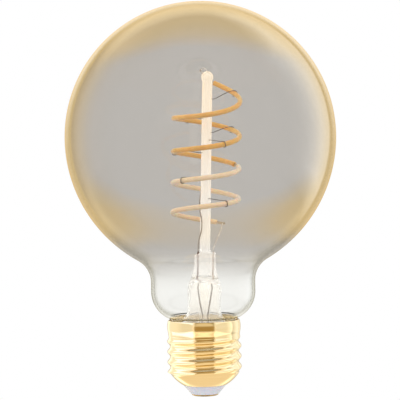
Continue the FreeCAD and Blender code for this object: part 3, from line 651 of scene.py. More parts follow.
@dataclass(frozen=True)
class CoatedGlass(ClearGlass):
    """The globe's outer face: glass under a thin metallic coating that fades out above the neck.

    The coating dims what is seen through it. It turns amber where it is seen at a slant, and does so sooner
    towards the top and the bottom of the globe, where it is thicker.
    """

    smears: Point2 = (0.0, 0.012)
    facing: Colour = (0.724, 0.708, 0.692)
    amber: Colour = (0.865, 0.695, 0.435)
    rim: Colour = (1.0, 0.83, 0.53)
    mirror: Colour = (1.0, 0.94, 0.84)
    rim_mirror: Colour = (1.0, 0.80, 0.52)
    sheen: float = 0.2
    sheen_turn: Point2 = (0.22, 0.5)
    rim_mirror_turn: Point2 = (0.5, 0.75)
    mirror_power: float = 5.0
    inner_mirror: float = 0.4
    uneven: Point2 = (-0.002, 0.002)
    coat_rise: Point2 = (0.0365, 0.0535)
    amber_rise: Point2 = (0.051, 0.063)
    mirror_rise: Point2 = (0.052, 0.064)
    seal_rise: Point2 = (0.027, 0.033)
    middle: float = 0.0905
    thick_below: Point2 = (-0.026, -0.012)
    thick_above: Point2 = (0.021, 0.033)
    turn_start: Point2 = (0.40, 0.12)
    turn_end: Point2 = (0.86, 0.50)
    rim_start: Point2 = (0.46, 0.32)
    rim_end: Point2 = (0.80, 0.66)

    def through(self, graph: Graph, level: Socket, slant: Socket) -> Socket:
        """The colour of what is seen through the glass.

        Args:
            graph: the graph to add to.
            level: the height, made a little uneven.
            slant: how far from square on the face is seen.

        Returns:
            The colour.
        """
        rise = graph.math("SUBTRACT", level, self.middle)
        below = graph.spread(rise, self.thick_below, FALLING, soft=True)
        thick = graph.math("MAXIMUM", below, graph.spread(rise, self.thick_above, soft=True))
        ranges = (self.turn_start, self.turn_end, self.rim_start, self.rim_end)
        start, end, rim_start, rim_end = (graph.spread(thick, (0.0, 1.0), ends) for ends in ranges)
        stays = graph.spread(level, self.amber_rise, soft=True)
        turn = graph.times(graph.spread(slant, (start, end)), stays)
        edge = graph.times(graph.spread(slant, (rim_start, rim_end)), stays)
        coated = graph.blend(edge, graph.blend(turn, self.facing, self.amber), self.rim)
        clear = graph.blend(graph.spread(level, self.seal_rise), self.tint, self.edge_tint(graph))
        return graph.blend(graph.spread(level, self.coat_rise, soft=True), clear, coated)

    def mirror_share(self, graph: Graph, level: Socket, slant: Socket) -> Socket:
        """How much of the light the coating throws back.

        Args:
            graph: the graph to add to.
            level: the height, made a little uneven.
            slant: how far from square on the face is seen.

        Returns:
            The share, from 0 to 1.
        """
        gleam = graph.spread(slant, self.sheen_turn, (0.0, self.sheen), soft=True)
        share = graph.math("ADD", graph.math("POWER", slant, self.mirror_power), gleam, clamp=True)
        inside = graph.node("NewGeometry").outputs["Backfacing"]
        inner = graph.spread(inside, (0.0, 1.0), (1.0, self.inner_mirror))
        return graph.times(share, inner, graph.spread(level, self.mirror_rise, soft=True))

    def draw(self, graph: Graph) -> None:
        """Fills the material's nodes.

        Args:
            graph: the graph to fill.
        """
        level = graph.math("ADD", graph.axis("Z"), graph.spread(graph.noise(60, 3), (0.0, 1.0), self.uneven))
        slant, shared = graph.slant(), {"Roughness": self.haze(graph), "Normal": self.bent(graph)}
        inputs = {"Color": self.through(graph, level, slant), "IOR": GLASS_IOR}
        glass = graph.node("BsdfGlass", inputs | shared)
        tone = graph.blend(graph.spread(slant, self.rim_mirror_turn, soft=True), self.mirror, self.rim_mirror)
        gold = graph.node("BsdfGlossy", {"Color": tone} | shared)
        coated = graph.either(self.mirror_share(graph, level, slant), glass, gold)
        graph.show(self.opened(graph, coated))


SILICONE = {
    "scale": 700,
    "gloss": (0.22, 0.34),
    "relief": 0.00006,
    "coat": 0.8,
    "coat_roughness": 0.15,
    "sheen": 0.4,
    "glow": 0.25,
}
FINISHES: dict[str, Finish] = {
    finish.slot: finish
    for finish in (
        CoatedGlass("amber_glass"),
        ClearGlass("inner_glass"),
        StemGlass("clear_glass"),
        Surface(
            "amber_silicone",
            (0.93, 0.56, 0.15), (0.80, 0.39, 0.08),
            sheen_tint=(1.0, 0.80, 0.45),
            **SILICONE,
        ),
        Surface(
            "peach_silicone",
            (0.98, 0.80, 0.58), (0.92, 0.64, 0.38),
            sheen_tint=(1.0, 0.94, 0.85),
            **SILICONE,
        ),
        Surface("carrier_metal", "D9D6CE", "A8A49A", Pattern.BRUSHED, 3000, (0.2, 0.35), 0.00001, 1.0),
        Surface("led_chip", "C4D6E8", "93A9C4", scale=6000, gloss=(0.08, 0.2), relief=0.000004, coat=0.6),
        Surface("tab_metal", "F0E2D0", "C4B096", Pattern.BRUSHED, 4000, (0.25, 0.4), 0.00001, 0.4),
        Surface("support_wire", "958E87", "5A544E", Pattern.DRAWN, 5000, (0.25, 0.4), 0.000006, 0.7),
        PairedWire(
            "nickel_wire", "C8BFB4", "8A8076", Pattern.DRAWN, 5000, (0.22, 0.36), 0.000006, 0.4,
            pale=(0.95, 0.90, 0.84),
        ),
        PairedWire("dumet_wire", "7A4436", "4A241C", Pattern.GRAIN, 6000, (0.3, 0.5), 0.000008, 0.7),
        Surface("copper_wire", "8C7A6C", "574438", Pattern.DRAWN, 5000, (0.24, 0.38), 0.000006, 1.0),
        Surface(
            "gold_shell", (0.94, 0.79, 0.49), (0.88, 0.70, 0.38),
            Pattern.TURNED, 1600, (0.07, 0.14), 0.000006, 1.0, 0.4,
        ),
        Surface(
            "white_insulator", "EFEFF6", "DADAE6", Pattern.GRAIN, 800, (0.18, 0.34), 0.00003,
            coat=0.4, glow=0.12,
        ),
        Surface("contact_brass", "EFD598", "B89350", Pattern.BRUSHED, 2500, (0.16, 0.32), 0.000012, 1.0),
        Surface("cement", "E6D2AC", "97804F", Pattern.MOTTLED, 1400, (0.7, 0.92), 0.0003),
        Surface("liner_plastic", "E8E5DA", "CFCABB", scale=1800, gloss=(0.4, 0.6)),
        Surface("green_board", "2C7A4E", "0F4028", Pattern.TRACES, 700, (0.22, 0.38), 0.00003, coat=0.4),
        Surface("blue_board", "24479A", "10265C", Pattern.TRACES, 900, (0.22, 0.38), 0.00003, coat=0.4),
        Surface("ferrule_metal", "DCD2B4", "9C8F6C", Pattern.DRAWN, 3000, (0.2, 0.38), 0.00001, 1.0),
        Surface("solder", "DADADA", "A3A3A3", Pattern.MOTTLED, 2600, (0.12, 0.34), 0.00003, 1.0),
        Surface("insulated_wire", "C99A6C", "8C5D38", Pattern.DRAWN, 4000, (0.24, 0.4), 0.00001, 1.0),
        Surface("can_metal", "D5D5D5", "9E9E9E", Pattern.BRUSHED, 2200, (0.22, 0.4), 0.00001, 1.0),
        Surface("black_package", "35353A", "1B1B1E", Pattern.GRAIN, 5200, (0.5, 0.7), 0.00003),
        Surface("crystal_metal", "DCD6BE", "A69E80", Pattern.BRUSHED, 2600, (0.18, 0.34), 0.00001, 1.0),
        Surface("antenna_ceramic", "EDF0F2", "C6CED2", Pattern.GRAIN, 3000, (0.4, 0.6), 0.00002),
        Surface("pin_metal", "E8C878", "A87F3A", Pattern.DRAWN, 4000, (0.18, 0.34), 0.00001, 1.0),
        Surface("capacitor_sleeve", "3C3E4A", "191A22", Pattern.GRAIN, 1500, (0.2, 0.36), 0.00002, coat=0.4),
        Surface("bung_rubber", "3A3A3A", "1C1C1C", Pattern.GRAIN, 3500, (0.6, 0.85), 0.00004),
        Surface("leg_metal", "D6D5D0", "9B9A94", Pattern.DRAWN, 4000, (0.2, 0.36), 0.00001, 1.0),
        Surface("ferrite", "55565A", "2D2D30", Pattern.GRAIN, 4200, (0.55, 0.8), 0.00005),
        Surface("enamelled_copper", "C46A3A", "6E3018", Pattern.WOUND, 1600, (0.16, 0.3), 0.00012, 0.8, 0.5),
        Surface("resistor_coat", "5C86A8", "365874", Pattern.GRAIN, 2600, (0.3, 0.5), 0.00003, coat=0.2),
        Surface("chip_ceramic", "B29C7C", "7A6548", Pattern.GRAIN, 4000, (0.45, 0.65), 0.00002),
    )
}


# ---- sub-assemblies ----


class Assembly:
    """A sub-assembly: it builds its pieces, dresses them and says what each stands for."""

    def settle(self, piece: Piece, slots: Sequence[str], *nodes: str) -> None:
        """Dresses a new piece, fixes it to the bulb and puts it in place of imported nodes.

        Args:
            piece: the new object.
            slots: its finishes, the first of which names its slot in the record.
            nodes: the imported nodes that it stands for.
        """
        for place, slot in enumerate(slots):
            FINISHES[slot].dress(piece, place)
        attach(piece, "root")
        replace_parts(piece, *nodes)
        low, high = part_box(nodes[0])
        bounds = [piece.matrix_world @ Vector(corner) for corner in piece.bound_box]
        off = max(
            max(abs(min(p[i] for p in bounds) - low[i]), abs(max(p[i] for p in bounds) - high[i]))
            for i in range(3)
        )
        stands = "%s stands for %s, %d faces, box off by %.2f mm"
        LOG.info(stands, piece.name, ", ".join(nodes), len(piece.data.polygons), off / MM)

    def redress(self, frame: dict, nodes: Mapping[str, str]) -> None:
        """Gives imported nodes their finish.

        Args:
            frame: the loaded frame.
            nodes: node names and their slots.
        """
        for node, slot in nodes.items():
            FINISHES[slot].dress(frame["nodes"][node])
            LOG.info("%s keeps its packed shape, in %s", node, slot)


@dataclass
class Globe(Assembly):
    """The blown glass envelope: a globe that narrows through a fillet into a neck, a shoulder and a seal."""

    radius: float = 47.5 * MM
    length: float = 138.0 * MM
    lower_radius: float = 49.5 * MM
    wall: float = 0.8 * MM
    neck_radius: float = 18.3 * MM
    fillet_radius: float = 8.8 * MM
    shoulder_height: float = 36.5 * MM
    shoulder_radius: float = 10.2 * MM
    seal_radius: float = 11.6 * MM
    seal_bottom: float = 22.0 * MM
    segments: int = 200

    def profile(self, inset: float) -> list[Point2]:
        """The wall's outline from the seal's bottom to the top of the globe.

        Args:
            inset: how far inside the outer face it runs.

        Returns:
            (radius, height) points.
        """
        middle = self.length - self.radius
        across = self.neck_radius + self.fillet_radius - self.radius + self.lower_radius
        drop = math.sqrt((self.lower_radius + self.fillet_radius) ** 2 - across**2)
        shoulder = (self.neck_radius - self.shoulder_radius, self.shoulder_height)
        fillet = (self.neck_radius + self.fillet_radius, middle - drop)
        lower = (self.radius - self.lower_radius, middle)
        meeting = math.atan2(drop, across)
        seal = self.seal_radius - inset
        start = -math.acos((seal - shoulder[0]) / (self.shoulder_radius - inset))
        return [
            (seal, self.seal_bottom),
            *arc(shoulder, self.shoulder_radius - inset, start, 0, 24),
            *arc(fillet, self.fillet_radius + inset, math.pi, math.pi - meeting, 20),
            *arc(lower, self.lower_radius - inset, -meeting, 0, 44)[1:],
            *arc((0.0, middle), self.radius - inset, 0, math.pi / 2, 72)[1:-1],
            (0.0, self.length - inset),
        ]

    def build(self) -> None:
        """Makes the envelope with a coated outer face and a clear inner one."""
        outer = turned_rings(self.profile(0), self.segments)
        inner = turned_rings(self.profile(self.wall), self.segments)
        skin = Skin()
        skin.wrap(outer, capped=False)
        skin.wrap(inner[::-1], group=1, capped=False)
        lip = len(skin.points) - self.segments
        for i in range(self.segments):
            j = (i + 1) % self.segments
            skin.faces.append((j, i, lip + i, lip + j))
            skin.groups.append(1)
        self.settle(skin.build("glass_globe"), ("amber_glass", "inner_glass"), "glass_envelope")


@dataclass
class Stem(Assembly):
    """The glass inside the globe: a flared tube with a flattened press on top, an exhaust tube and a post.

    All of it leans a little to +X about the seal.
    """

    lean: float = math.radians(1.8)
    pivot: Vector = Vector((0.0, 0.0, 22.0 * MM))
    tube_radius: float = 5.85 * MM
    tube_wall: float = 0.8 * MM
    curve_radius: float = 7.3 * MM
    curve_top: float = 30.5 * MM
    rim_radius: float = 10.7 * MM
    bore_top: float = 40.2 * MM
    post_radius: float = 1.8 * MM
    post_bottom: float = 50.32 * MM
    post_top: float = 113.7 * MM
    bead_radius: float = 2.15 * MM
    exhaust_radius: float = 2.0 * MM
    exhaust_bore: float = 1.3 * MM
    exhaust_tip: float = 14.2 * MM
    exhaust_gap: float = 0.02 * MM
    foot_flow: float = 0.22
    post_wave: float = 0.012
    segments: int = 72
    press_rows: int = 60

    # height, half width, half depth and squareness of the press's sections, in mm
    press: tuple[tuple[float, float, float, float], ...] = (
        (38.2, 5.85, 5.85, 2.0),
        (39.8, 5.45, 4.5, 2.1),
        (41.2, 4.8, 3.0, 2.4),
        (41.9, 4.62, 2.55, 2.6),
        (42.3, 4.5, 1.9, 3.0),
        (44.0, 4.2, 1.72, 3.2),
        (46.0, 3.86, 1.66, 3.2),
        (49.2, 3.7, 1.66, 3.2),
        (49.9, 3.8, 1.75, 3.0),
        (50.2, 3.7, 1.6, 2.8),
        (50.3, 3.3, 1.3, 2.6),
    )
    # radius and height of the bore's closed end, in mm
    bore_end: tuple[Point2, ...] = ((4.4, 39.1), (3.2, 39.9), (2.2, 40.2), (0.0, 40.2))
    # radius and height above the tip of the exhaust tube's rounded end, in mm
    exhaust_end: tuple[Point2, ...] = ((0.0, 0.0), (0.7, 0.12), (1.4, 0.6), (1.86, 1.3), (2.0, 2.2))
    # size over the post's radius and drop below the bead of the post's neck, in mm
    post_neck: tuple[Point2, ...] = ((0.97, 1.7), (1.05, 1.1))
    bore_bend: float = 37.6 * MM
    ear_drop: float = 1.0 * MM
    ear_edge: float = -2.2 * MM
    ear_blend: float = 0.3 * MM
    ear_rise: Point2 = (44 * MM, 50 * MM)

    def tilt(self) -> Matrix:
        """The lean as a matrix."""
        out, back = Matrix.Translation(self.pivot), Matrix.Translation(-self.pivot)
        return out @ Matrix.Rotation(self.lean, 4, "Y") @ back

    def leaning(self, piece: Piece) -> Piece:
        """The same piece, leaning."""
        piece.data.transform(self.tilt())
        return piece

    def section(self, height: float, wide: float, deep: float, square: float) -> list[Vector]:
        """One ring of the press: an ellipse with flattened sides, whose left ear stands lower at the top.

        Args:
            height: the ring's height.
            wide: its half width.
            deep: its half depth.
            square: how flat its sides are. 2 makes an ellipse.

        Returns:
            The ring's points.
        """
        ring = []
        lower = smooth(*self.ear_rise, height)
        for angle in around(self.segments):
            c, s = math.cos(angle), math.sin(angle)
            x = wide * math.copysign(abs(c) ** (2 / square), c)
            y = deep * math.copysign(abs(s) ** (2 / square), s)
            ear = smooth(self.ear_edge + self.ear_blend, self.ear_edge - self.ear_blend, x)
            ring.append(Vector((x, y, height - self.ear_drop * (ear * lower))))
        return ring

    def flare_curve(self, wall: float) -> list[Point2]:
        """The flared foot's outline, from its rim up to the straight tube.

        Args:
            wall: how far inside the outer face it runs.

        Returns:
            (radius, height) points.
        """
        centre = (self.tube_radius + self.curve_radius, self.curve_top)
        rim = self.rim_radius - wall
        radius = self.curve_radius + wall
        start = math.pi + math.asin(min(1.0, math.sqrt(1 - ((centre[0] - rim) / radius) ** 2)))
        return arc(centre, radius, start, math.pi, 20)

    def flare(self) -> Piece:
        """The flared tube and its press, with the tube's bore closed below the press.

        Returns:
            The new piece.
        """
        outer = turned_rings(self.flare_curve(0), self.segments)
        low, high = self.press[0][0], self.press[-1][0]
        for i in range(self.press_rows + 1):
            height = low + (high - low) * i / self.press_rows
            wide, deep, square = along_keys(self.press, height)
            outer.append(self.section(height * MM, wide * MM, deep * MM, square))
        outer.append([Vector((0.0, 0.0, high * MM))])
        bore = self.flare_curve(self.tube_wall)
        bore += [(self.tube_radius - self.tube_wall, self.bore_bend), *in_mm(self.bore_end)]
        inner = turned_rings(bore, self.segments)
        skin = Skin()
        skin.wrap([*inner[::-1], *outer])
        return self.leaning(skin.build("stem_flare_glass", 50))

    def post(self) -> Piece:
        """The rod with a foot that has flowed onto the press and a melted bead on top.

        Returns:
            The new piece.
        """
        foot, bead = self.post_bottom, self.post_top - self.bead_radius * 0.95
        outline = [(0.0, foot), (self.post_radius * (1 + self.foot_flow), foot)]
        for i in range(1, 12):
            flow = 1 + self.foot_flow * math.exp(-i / 2.5)
            outline.append((self.post_radius * flow, foot + (0.08 + 0.16 * i) * MM))
        start, end = outline[-1][1], bead - 2.6 * MM
        for i in range(1, 25):
            wave = 1 + self.post_wave * math.sin(9 * i / 24)
            outline.append((self.post_radius * wave, start + (end - start) * i / 24))
        outline += [(self.post_radius * size, bead - drop * MM) for size, drop in self.post_neck]
        outline += arc((0.0, bead), self.bead_radius, -0.3, math.pi / 2, 14)[:-1]
        return self.leaning(turned("glass_rod", [*outline, (0.0, bead + self.bead_radius)], 48))

    def exhaust(self) -> Piece:
        """The exhaust tube, sealed to a rounded tip.

        Returns:
            The new piece.
        """
        outline = [(radius * MM, self.exhaust_tip + rise * MM) for radius, rise in self.exhaust_end]
        tip, top = outline[-1][1], self.bore_top - self.exhaust_gap
        outline += [(self.exhaust_radius, top), (self.exhaust_bore, top), (self.exhaust_bore, tip)]
        outline += arc((0.0, tip), self.exhaust_bore, 0, -math.pi / 2, 8)[1:-1]
        return self.leaning(turned("exhaust_tube_glass", [*outline, (0.0, tip - self.exhaust_bore)], 48))

    def build(self) -> None:
        """Makes the three pieces of glass."""
        self.settle(self.flare(), ("clear_glass",), "stem_flare")
        self.settle(self.post(), ("clear_glass",), "glass_post")
        self.settle(self.exhaust(), ("clear_glass",), "exhaust_tube")


@dataclass
class Filament(Assembly):
    """The coiled filament: two silicone-coated strips in line, deep amber above and pale below."""

    stem: Stem
    radius: float = 11.65 * MM
    top: float = 106.28 * MM
    pitch: float = 12.5 * MM
    pitch_loss: float = 0.32 * MM
    rise: float = 2.7 * MM
    rise_rate: float = 8.0
    front_drop: float = 2.9 * MM
    front_drop_loss: float = 0.8 * MM
    strip_radius: float = 0.93 * MM
    flatness: float = 0.92
    chip_spacing: float = 2.2 * MM
    chip_swell: float = 0.025
    upper: Point2 = (0.03, 2.17)
    lower: Point2 = (2.21, 4.06)
    sides: int = 20
    rings_per_turn: int = 110
    end_reach: float = 0.4 * MM
    end_gap: float = 0.004
    tip_size: float = 0.05

    def point(self, turns: float) -> Vector:
        """The coil's centre line.

        Args:
            turns: how many turns down from its top end behind the post.

        Returns:
            The point.
        """
        angle = 2 * math.pi * turns
        height = self.top - self.pitch * turns + self.pitch_loss * turns**2
        height += self.rise * math.exp(-self.rise_rate * turns)
        height += (self.front_drop - self.front_drop_loss * turns) * math.cos(angle)
        return Vector((self.radius * math.sin(angle), self.radius * math.cos(angle), height))

    def ring(self, turns: float, scale: float, shift: float) -> list[Vector]:
        """One ring of the coat.

        Args:
            turns: where on the coil.
            scale: its size over the strip's.
            shift: how far it is moved along the coil.

        Returns:
            The ring's points.
        """
        along = (self.point(turns + 1e-3) - self.point(turns - 1e-3)).normalized()
        outward = Vector((math.sin(2 * math.pi * turns), math.cos(2 * math.pi * turns), 0.0))
        across = along.cross(outward).normalized()
        outward = across.cross(along).normalized()
        middle = self.point(turns) + along * shift
        points = []
        for angle in around(self.sides):
            reach = outward * math.cos(angle) * self.flatness + across * math.sin(angle)
            points.append(middle + reach * self.strip_radius * scale)
        return points

    def coat(self, name: str, span: Point2) -> Piece:
        """One strip's coat, with rounded ends and a slight swelling over each chip.

        Args:
            name: the piece's name.
            span: where it starts and ends, in turns.

        Returns:
            The new piece.
        """
        start, end = span
        count = round((end - start) * self.rings_per_turn)
        turn_length = math.hypot(2 * math.pi * self.radius, self.pitch)
        shares = (0.0, 0.25, 0.5, 0.75)
        ends = [(share, max(math.sqrt(1 - (1 - share) ** 2), self.tip_size)) for share in shares]
        rings = [self.ring(start, size, self.end_reach * share) for share, size in ends]
        for i in range(count + 1):
            turns = start + (end - start) * (self.end_gap + (1 - 2 * self.end_gap) * i / count)
            swell = 1 + self.chip_swell * math.cos(2 * math.pi * turns * turn_length / self.chip_spacing)
            rings.append(self.ring(turns, swell * (1 - self.chip_swell), 0.0))
        rings += [self.ring(end, size, -self.end_reach * share) for share, size in reversed(ends)]
        skin = Skin()
        skin.wrap(rings)
        return self.stem.leaning(skin.build(name))

    def build(self) -> None:
        """Makes the two coats."""
        self.settle(self.coat("upper_filament_coat", self.upper), ("amber_silicone",), "upper_phosphor_coat")
        self.settle(self.coat("lower_filament_coat", self.lower), ("peach_silicone",), "lower_phosphor_coat")


@dataclass
class ScrewCap(Assembly):
    """The gold-plated screw shell with its insulator, centre contact and the cement that holds the glass."""

    crest_radius: float = 13.05 * MM
    root_radius: float = 12.05 * MM
    pitch: float = 3.629 * MM
    phase: float = 6.38 * MM
    thread_bottom: float = 7.0 * MM
    thread_top: float = 21.1 * MM
    run_in: float = 0.35
    run_out: float = 0.5
    wall: float = 0.3 * MM
    skirt_radius: float = 12.9 * MM
    skirt_hollow: float = 0.30 * MM
    skirt_bottom: float = 21.8 * MM
    rim_height: float = 26.5 * MM
    dome_top: float = 8.3 * MM
    dome_radius: float = 12.4 * MM
    dome_bottom: float = 3.8 * MM
    hole_radius: float = 7.9 * MM
    dome_bow: float = 14.0 * MM
    skirt_step: float = 0.62 * MM
    skirt_foot: float = 0.12 * MM
    skirt_lip: float = 0.14 * MM
    lip: Point2 = (0.05 * MM, 0.04 * MM)
    dome_rows: int = 14
    thread_rows: int = 118
    skirt_rows: int = 14
    segments: int = 192
    crumble: float = 0.35
    crumbs: tuple[int, ...] = (3, 5, 8, 13, 21, 34)

    # radius and height of each corner, in mm
    insulator_corners: tuple[Point2, ...] = (
        (1.25, 0.6), (4.9, 0.6), (5.05, 0.64), (5.13, 0.74), (5.2, 0.92), (7.3, 3.35), (7.42, 3.6),
        (7.45, 3.8), (7.6, 3.8), (7.6, 4.2), (8.3, 4.85), (8.3, 5.7), (1.25, 5.7),
    )
    contact_corners: tuple[Point2, ...] = (
        (0.0, 0.12), (1.4, 0.1), (1.9, 0.02), (2.3, 0.0), (4.1, 0.0), (4.35, 0.03), (4.58, 0.12),
        (4.7, 0.28), (4.7, 0.52), (4.6, 0.6), (1.25, 0.6), (1.25, 6.6), (1.1, 6.8), (0.0, 6.8),
    )
    # the same of the cement, with how crumbly each corner is
    cement_corners: tuple[Row3, ...] = (
        (8.0, 20.8, 0), (11.9, 20.8, 0), (11.9, 21.7, 0), (12.22, 21.95, 0), (12.25, 25.8, 0),
        (12.18, 26.1, 0.5), (12.0, 26.22, 1), (11.8, 26.2, 1), (11.62, 26.05, 1),
        (11.62, 21.95, 0), (8.0, 21.95, 0.6),
    )

    def meridian(self) -> list[Row3]:
        """The shell's outline from its hole up to its rim.

        Returns:
            (radius, height, share of the thread) rows.
        """
        middle = (self.crest_radius + self.root_radius) / 2
        low, high = Vector((self.hole_radius, self.dome_bottom)), Vector((self.dome_radius, self.dome_top))
        chord = high - low
        left = Vector((-chord.y, chord.x)).normalized()
        centre = (low + high) / 2 + left * math.sqrt(self.dome_bow**2 - (chord.length / 2) ** 2)
        first, last = (math.atan2(p.y - centre.y, p.x - centre.x) for p in (low, high))
        points = []
        for radius, height in arc(tuple(centre), self.dome_bow, first, last, self.dome_rows):
            points.append((radius, height, 0.0 if height < self.thread_bottom else 1.0))
        climb = self.skirt_bottom - self.skirt_step - self.dome_top
        for i in range(1, self.thread_rows + 1):
            points.append((middle, self.dome_top + climb * i / self.thread_rows, 1.0))
        low, high = self.skirt_bottom + self.skirt_foot, self.rim_height - self.skirt_lip
        for i in range(self.skirt_rows + 1):
            share = i / self.skirt_rows
            hollow = self.skirt_hollow * (2 * share - 1) ** 2
            points.append((self.skirt_radius - hollow, low + (high - low) * share, 0.0))
        inward, down = self.lip
        points.append((self.skirt_radius - self.skirt_hollow - inward, self.rim_height - down, 0.0))
        return points

    def thread(self, angle: float, radius: float, height: float, share: float, wall: float) -> float:
        """The shell's radius at an angle and a height, with the thread's rounded wave.

        Args:
            angle: the angle about the axis.
            radius: the radius where there is no thread.
            height: the height.
            share: 0 where there is no thread.
            wall: how far inside the outer face it runs.

        Returns:
            The radius.
        """
        if not share:
            return radius - wall
        low = (height - self.thread_bottom) / self.pitch / self.run_in
        high = (self.thread_top - height) / self.pitch / self.run_out
        swing = (self.crest_radius - self.root_radius) / 2 * max(0.0, min(1.0, low, high))
        middle = (self.crest_radius + self.root_radius) / 2 - wall
        away = angle - 2 * math.pi * (height - self.phase) / self.pitch
        wave = swing * math.cos(away) + math.sqrt(middle**2 - (swing * math.sin(away)) ** 2)
        return min(wave, radius - wall) if height < self.dome_top - TINY else wave

    def shell(self) -> Piece:
        """The shell as one closed skin with an outer and an inner face.

        Returns:
            The new piece.
        """
        rings = []
        outline = self.meridian()
        for wall, rows in ((0.0, outline), (self.wall, outline[::-1])):
            for radius, height, share in rows:
                ring = []
                for angle in around(self.segments):
                    reach = self.thread(angle, radius, height, share, wall)
                    ring.append(Vector((reach * math.cos(angle), reach * math.sin(angle), height)))
                rings.append(ring)
        skin = Skin()
        skin.wrap(rings, closed=True)
        return skin.build("gold_screw_shell", 50)

    def insulator(self) -> Piece:
        """The white insulator, with a soft lower edge and a flange inside the shell."""
        return turned("white_insulator_cone", in_mm(self.insulator_corners))

    def contact(self) -> Piece:
        """The contact disc with a slightly dished face, a rolled edge and its shank."""
        return turned("contact_disc", in_mm(self.contact_corners), 96)

    def cement(self) -> Piece:
        """The cement ring, with a crumbly top and lower edge.

        Returns:
            The new piece.
        """
        rough = random.Random(7)
        waves = [(rough.uniform(0, 2 * math.pi), rough.choice(self.crumbs)) for _ in range(9)]
        rings = []
        for radius, height, loose in self.cement_corners:
            ring = []
            for angle in around(self.segments):
                bump = abs(sum(math.sin(angle * k + p) for p, k in waves) / len(waves))
                level, reach = (height - loose * self.crumble * bump) * MM, radius * MM
                ring.append(Vector((reach * math.cos(angle), reach * math.sin(angle), level)))
            rings.append(ring)
        skin = Skin()
        skin.wrap(rings, closed=True)
        return skin.build("cement_ring", 60)

    def build(self) -> None:
        """Makes the cap's four pieces."""
        self.settle(self.shell(), ("gold_shell",), "screw_shell")
        self.settle(self.insulator(), ("white_insulator",), "base_insulator")
        self.settle(self.contact(), ("contact_brass",), "centre_contact")
        self.settle(self.cement(), ("cement",), "capping_cement")


@dataclass
class PackedPieces(Assembly):
    """The wires and the electronics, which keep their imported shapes."""

    frame: dict
    replaced: tuple[str, ...]

    def build(self) -> None:
        """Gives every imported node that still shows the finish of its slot."""
        rows = self.frame["record"]["subparts"]
        kept = {row["node"]: row["material_slot"] for row in rows if row["node"] not in self.replaced}
        self.redress(self.frame, kept)


# ---- studio ----


@dataclass(frozen=True)
class Softbox:
    """A soft light that lights chosen pieces only. It faces the bulb's axis, or upwards when it is flat."""

    name: str
    azimuth: float
    distance: float
    centre_height: float
    width: float
    height: float
    glow: float
    colour: Colour = (1.0, 1.0, 1.0)
    cap_only: bool = False
    flat: bool = False

    def build(self, lit: bpy.types.Collection) -> None:
        """Adds the light and hides it from the camera itself.

        Args:
            lit: the pieces that it lights.
        """
        lamp = bpy.data.lights.new(self.name, "AREA")
        lamp.shape = "RECTANGLE"
        lamp.size, lamp.size_y = self.width, self.height
        lamp.energy = self.glow * math.pi * self.width * self.height
        lamp.color = self.colour
        item = bpy.data.objects.new(self.name, lamp)
        turn = math.radians(self.azimuth)
        level = Vector((math.sin(turn), -math.cos(turn), 0.0)) * self.distance
        item.location = level + Vector((0.0, 0.0, self.centre_height))
        item.rotation_euler = (-level).to_track_quat("-Z", "Y").to_euler()
        if self.flat:
            item.rotation_euler = (math.pi, 0.0, 0.0)
        item.visible_camera = False
        item.visible_transmission = False
        item.light_linking.receiver_collection = lit
        bpy.context.scene.collection.objects.link(item)


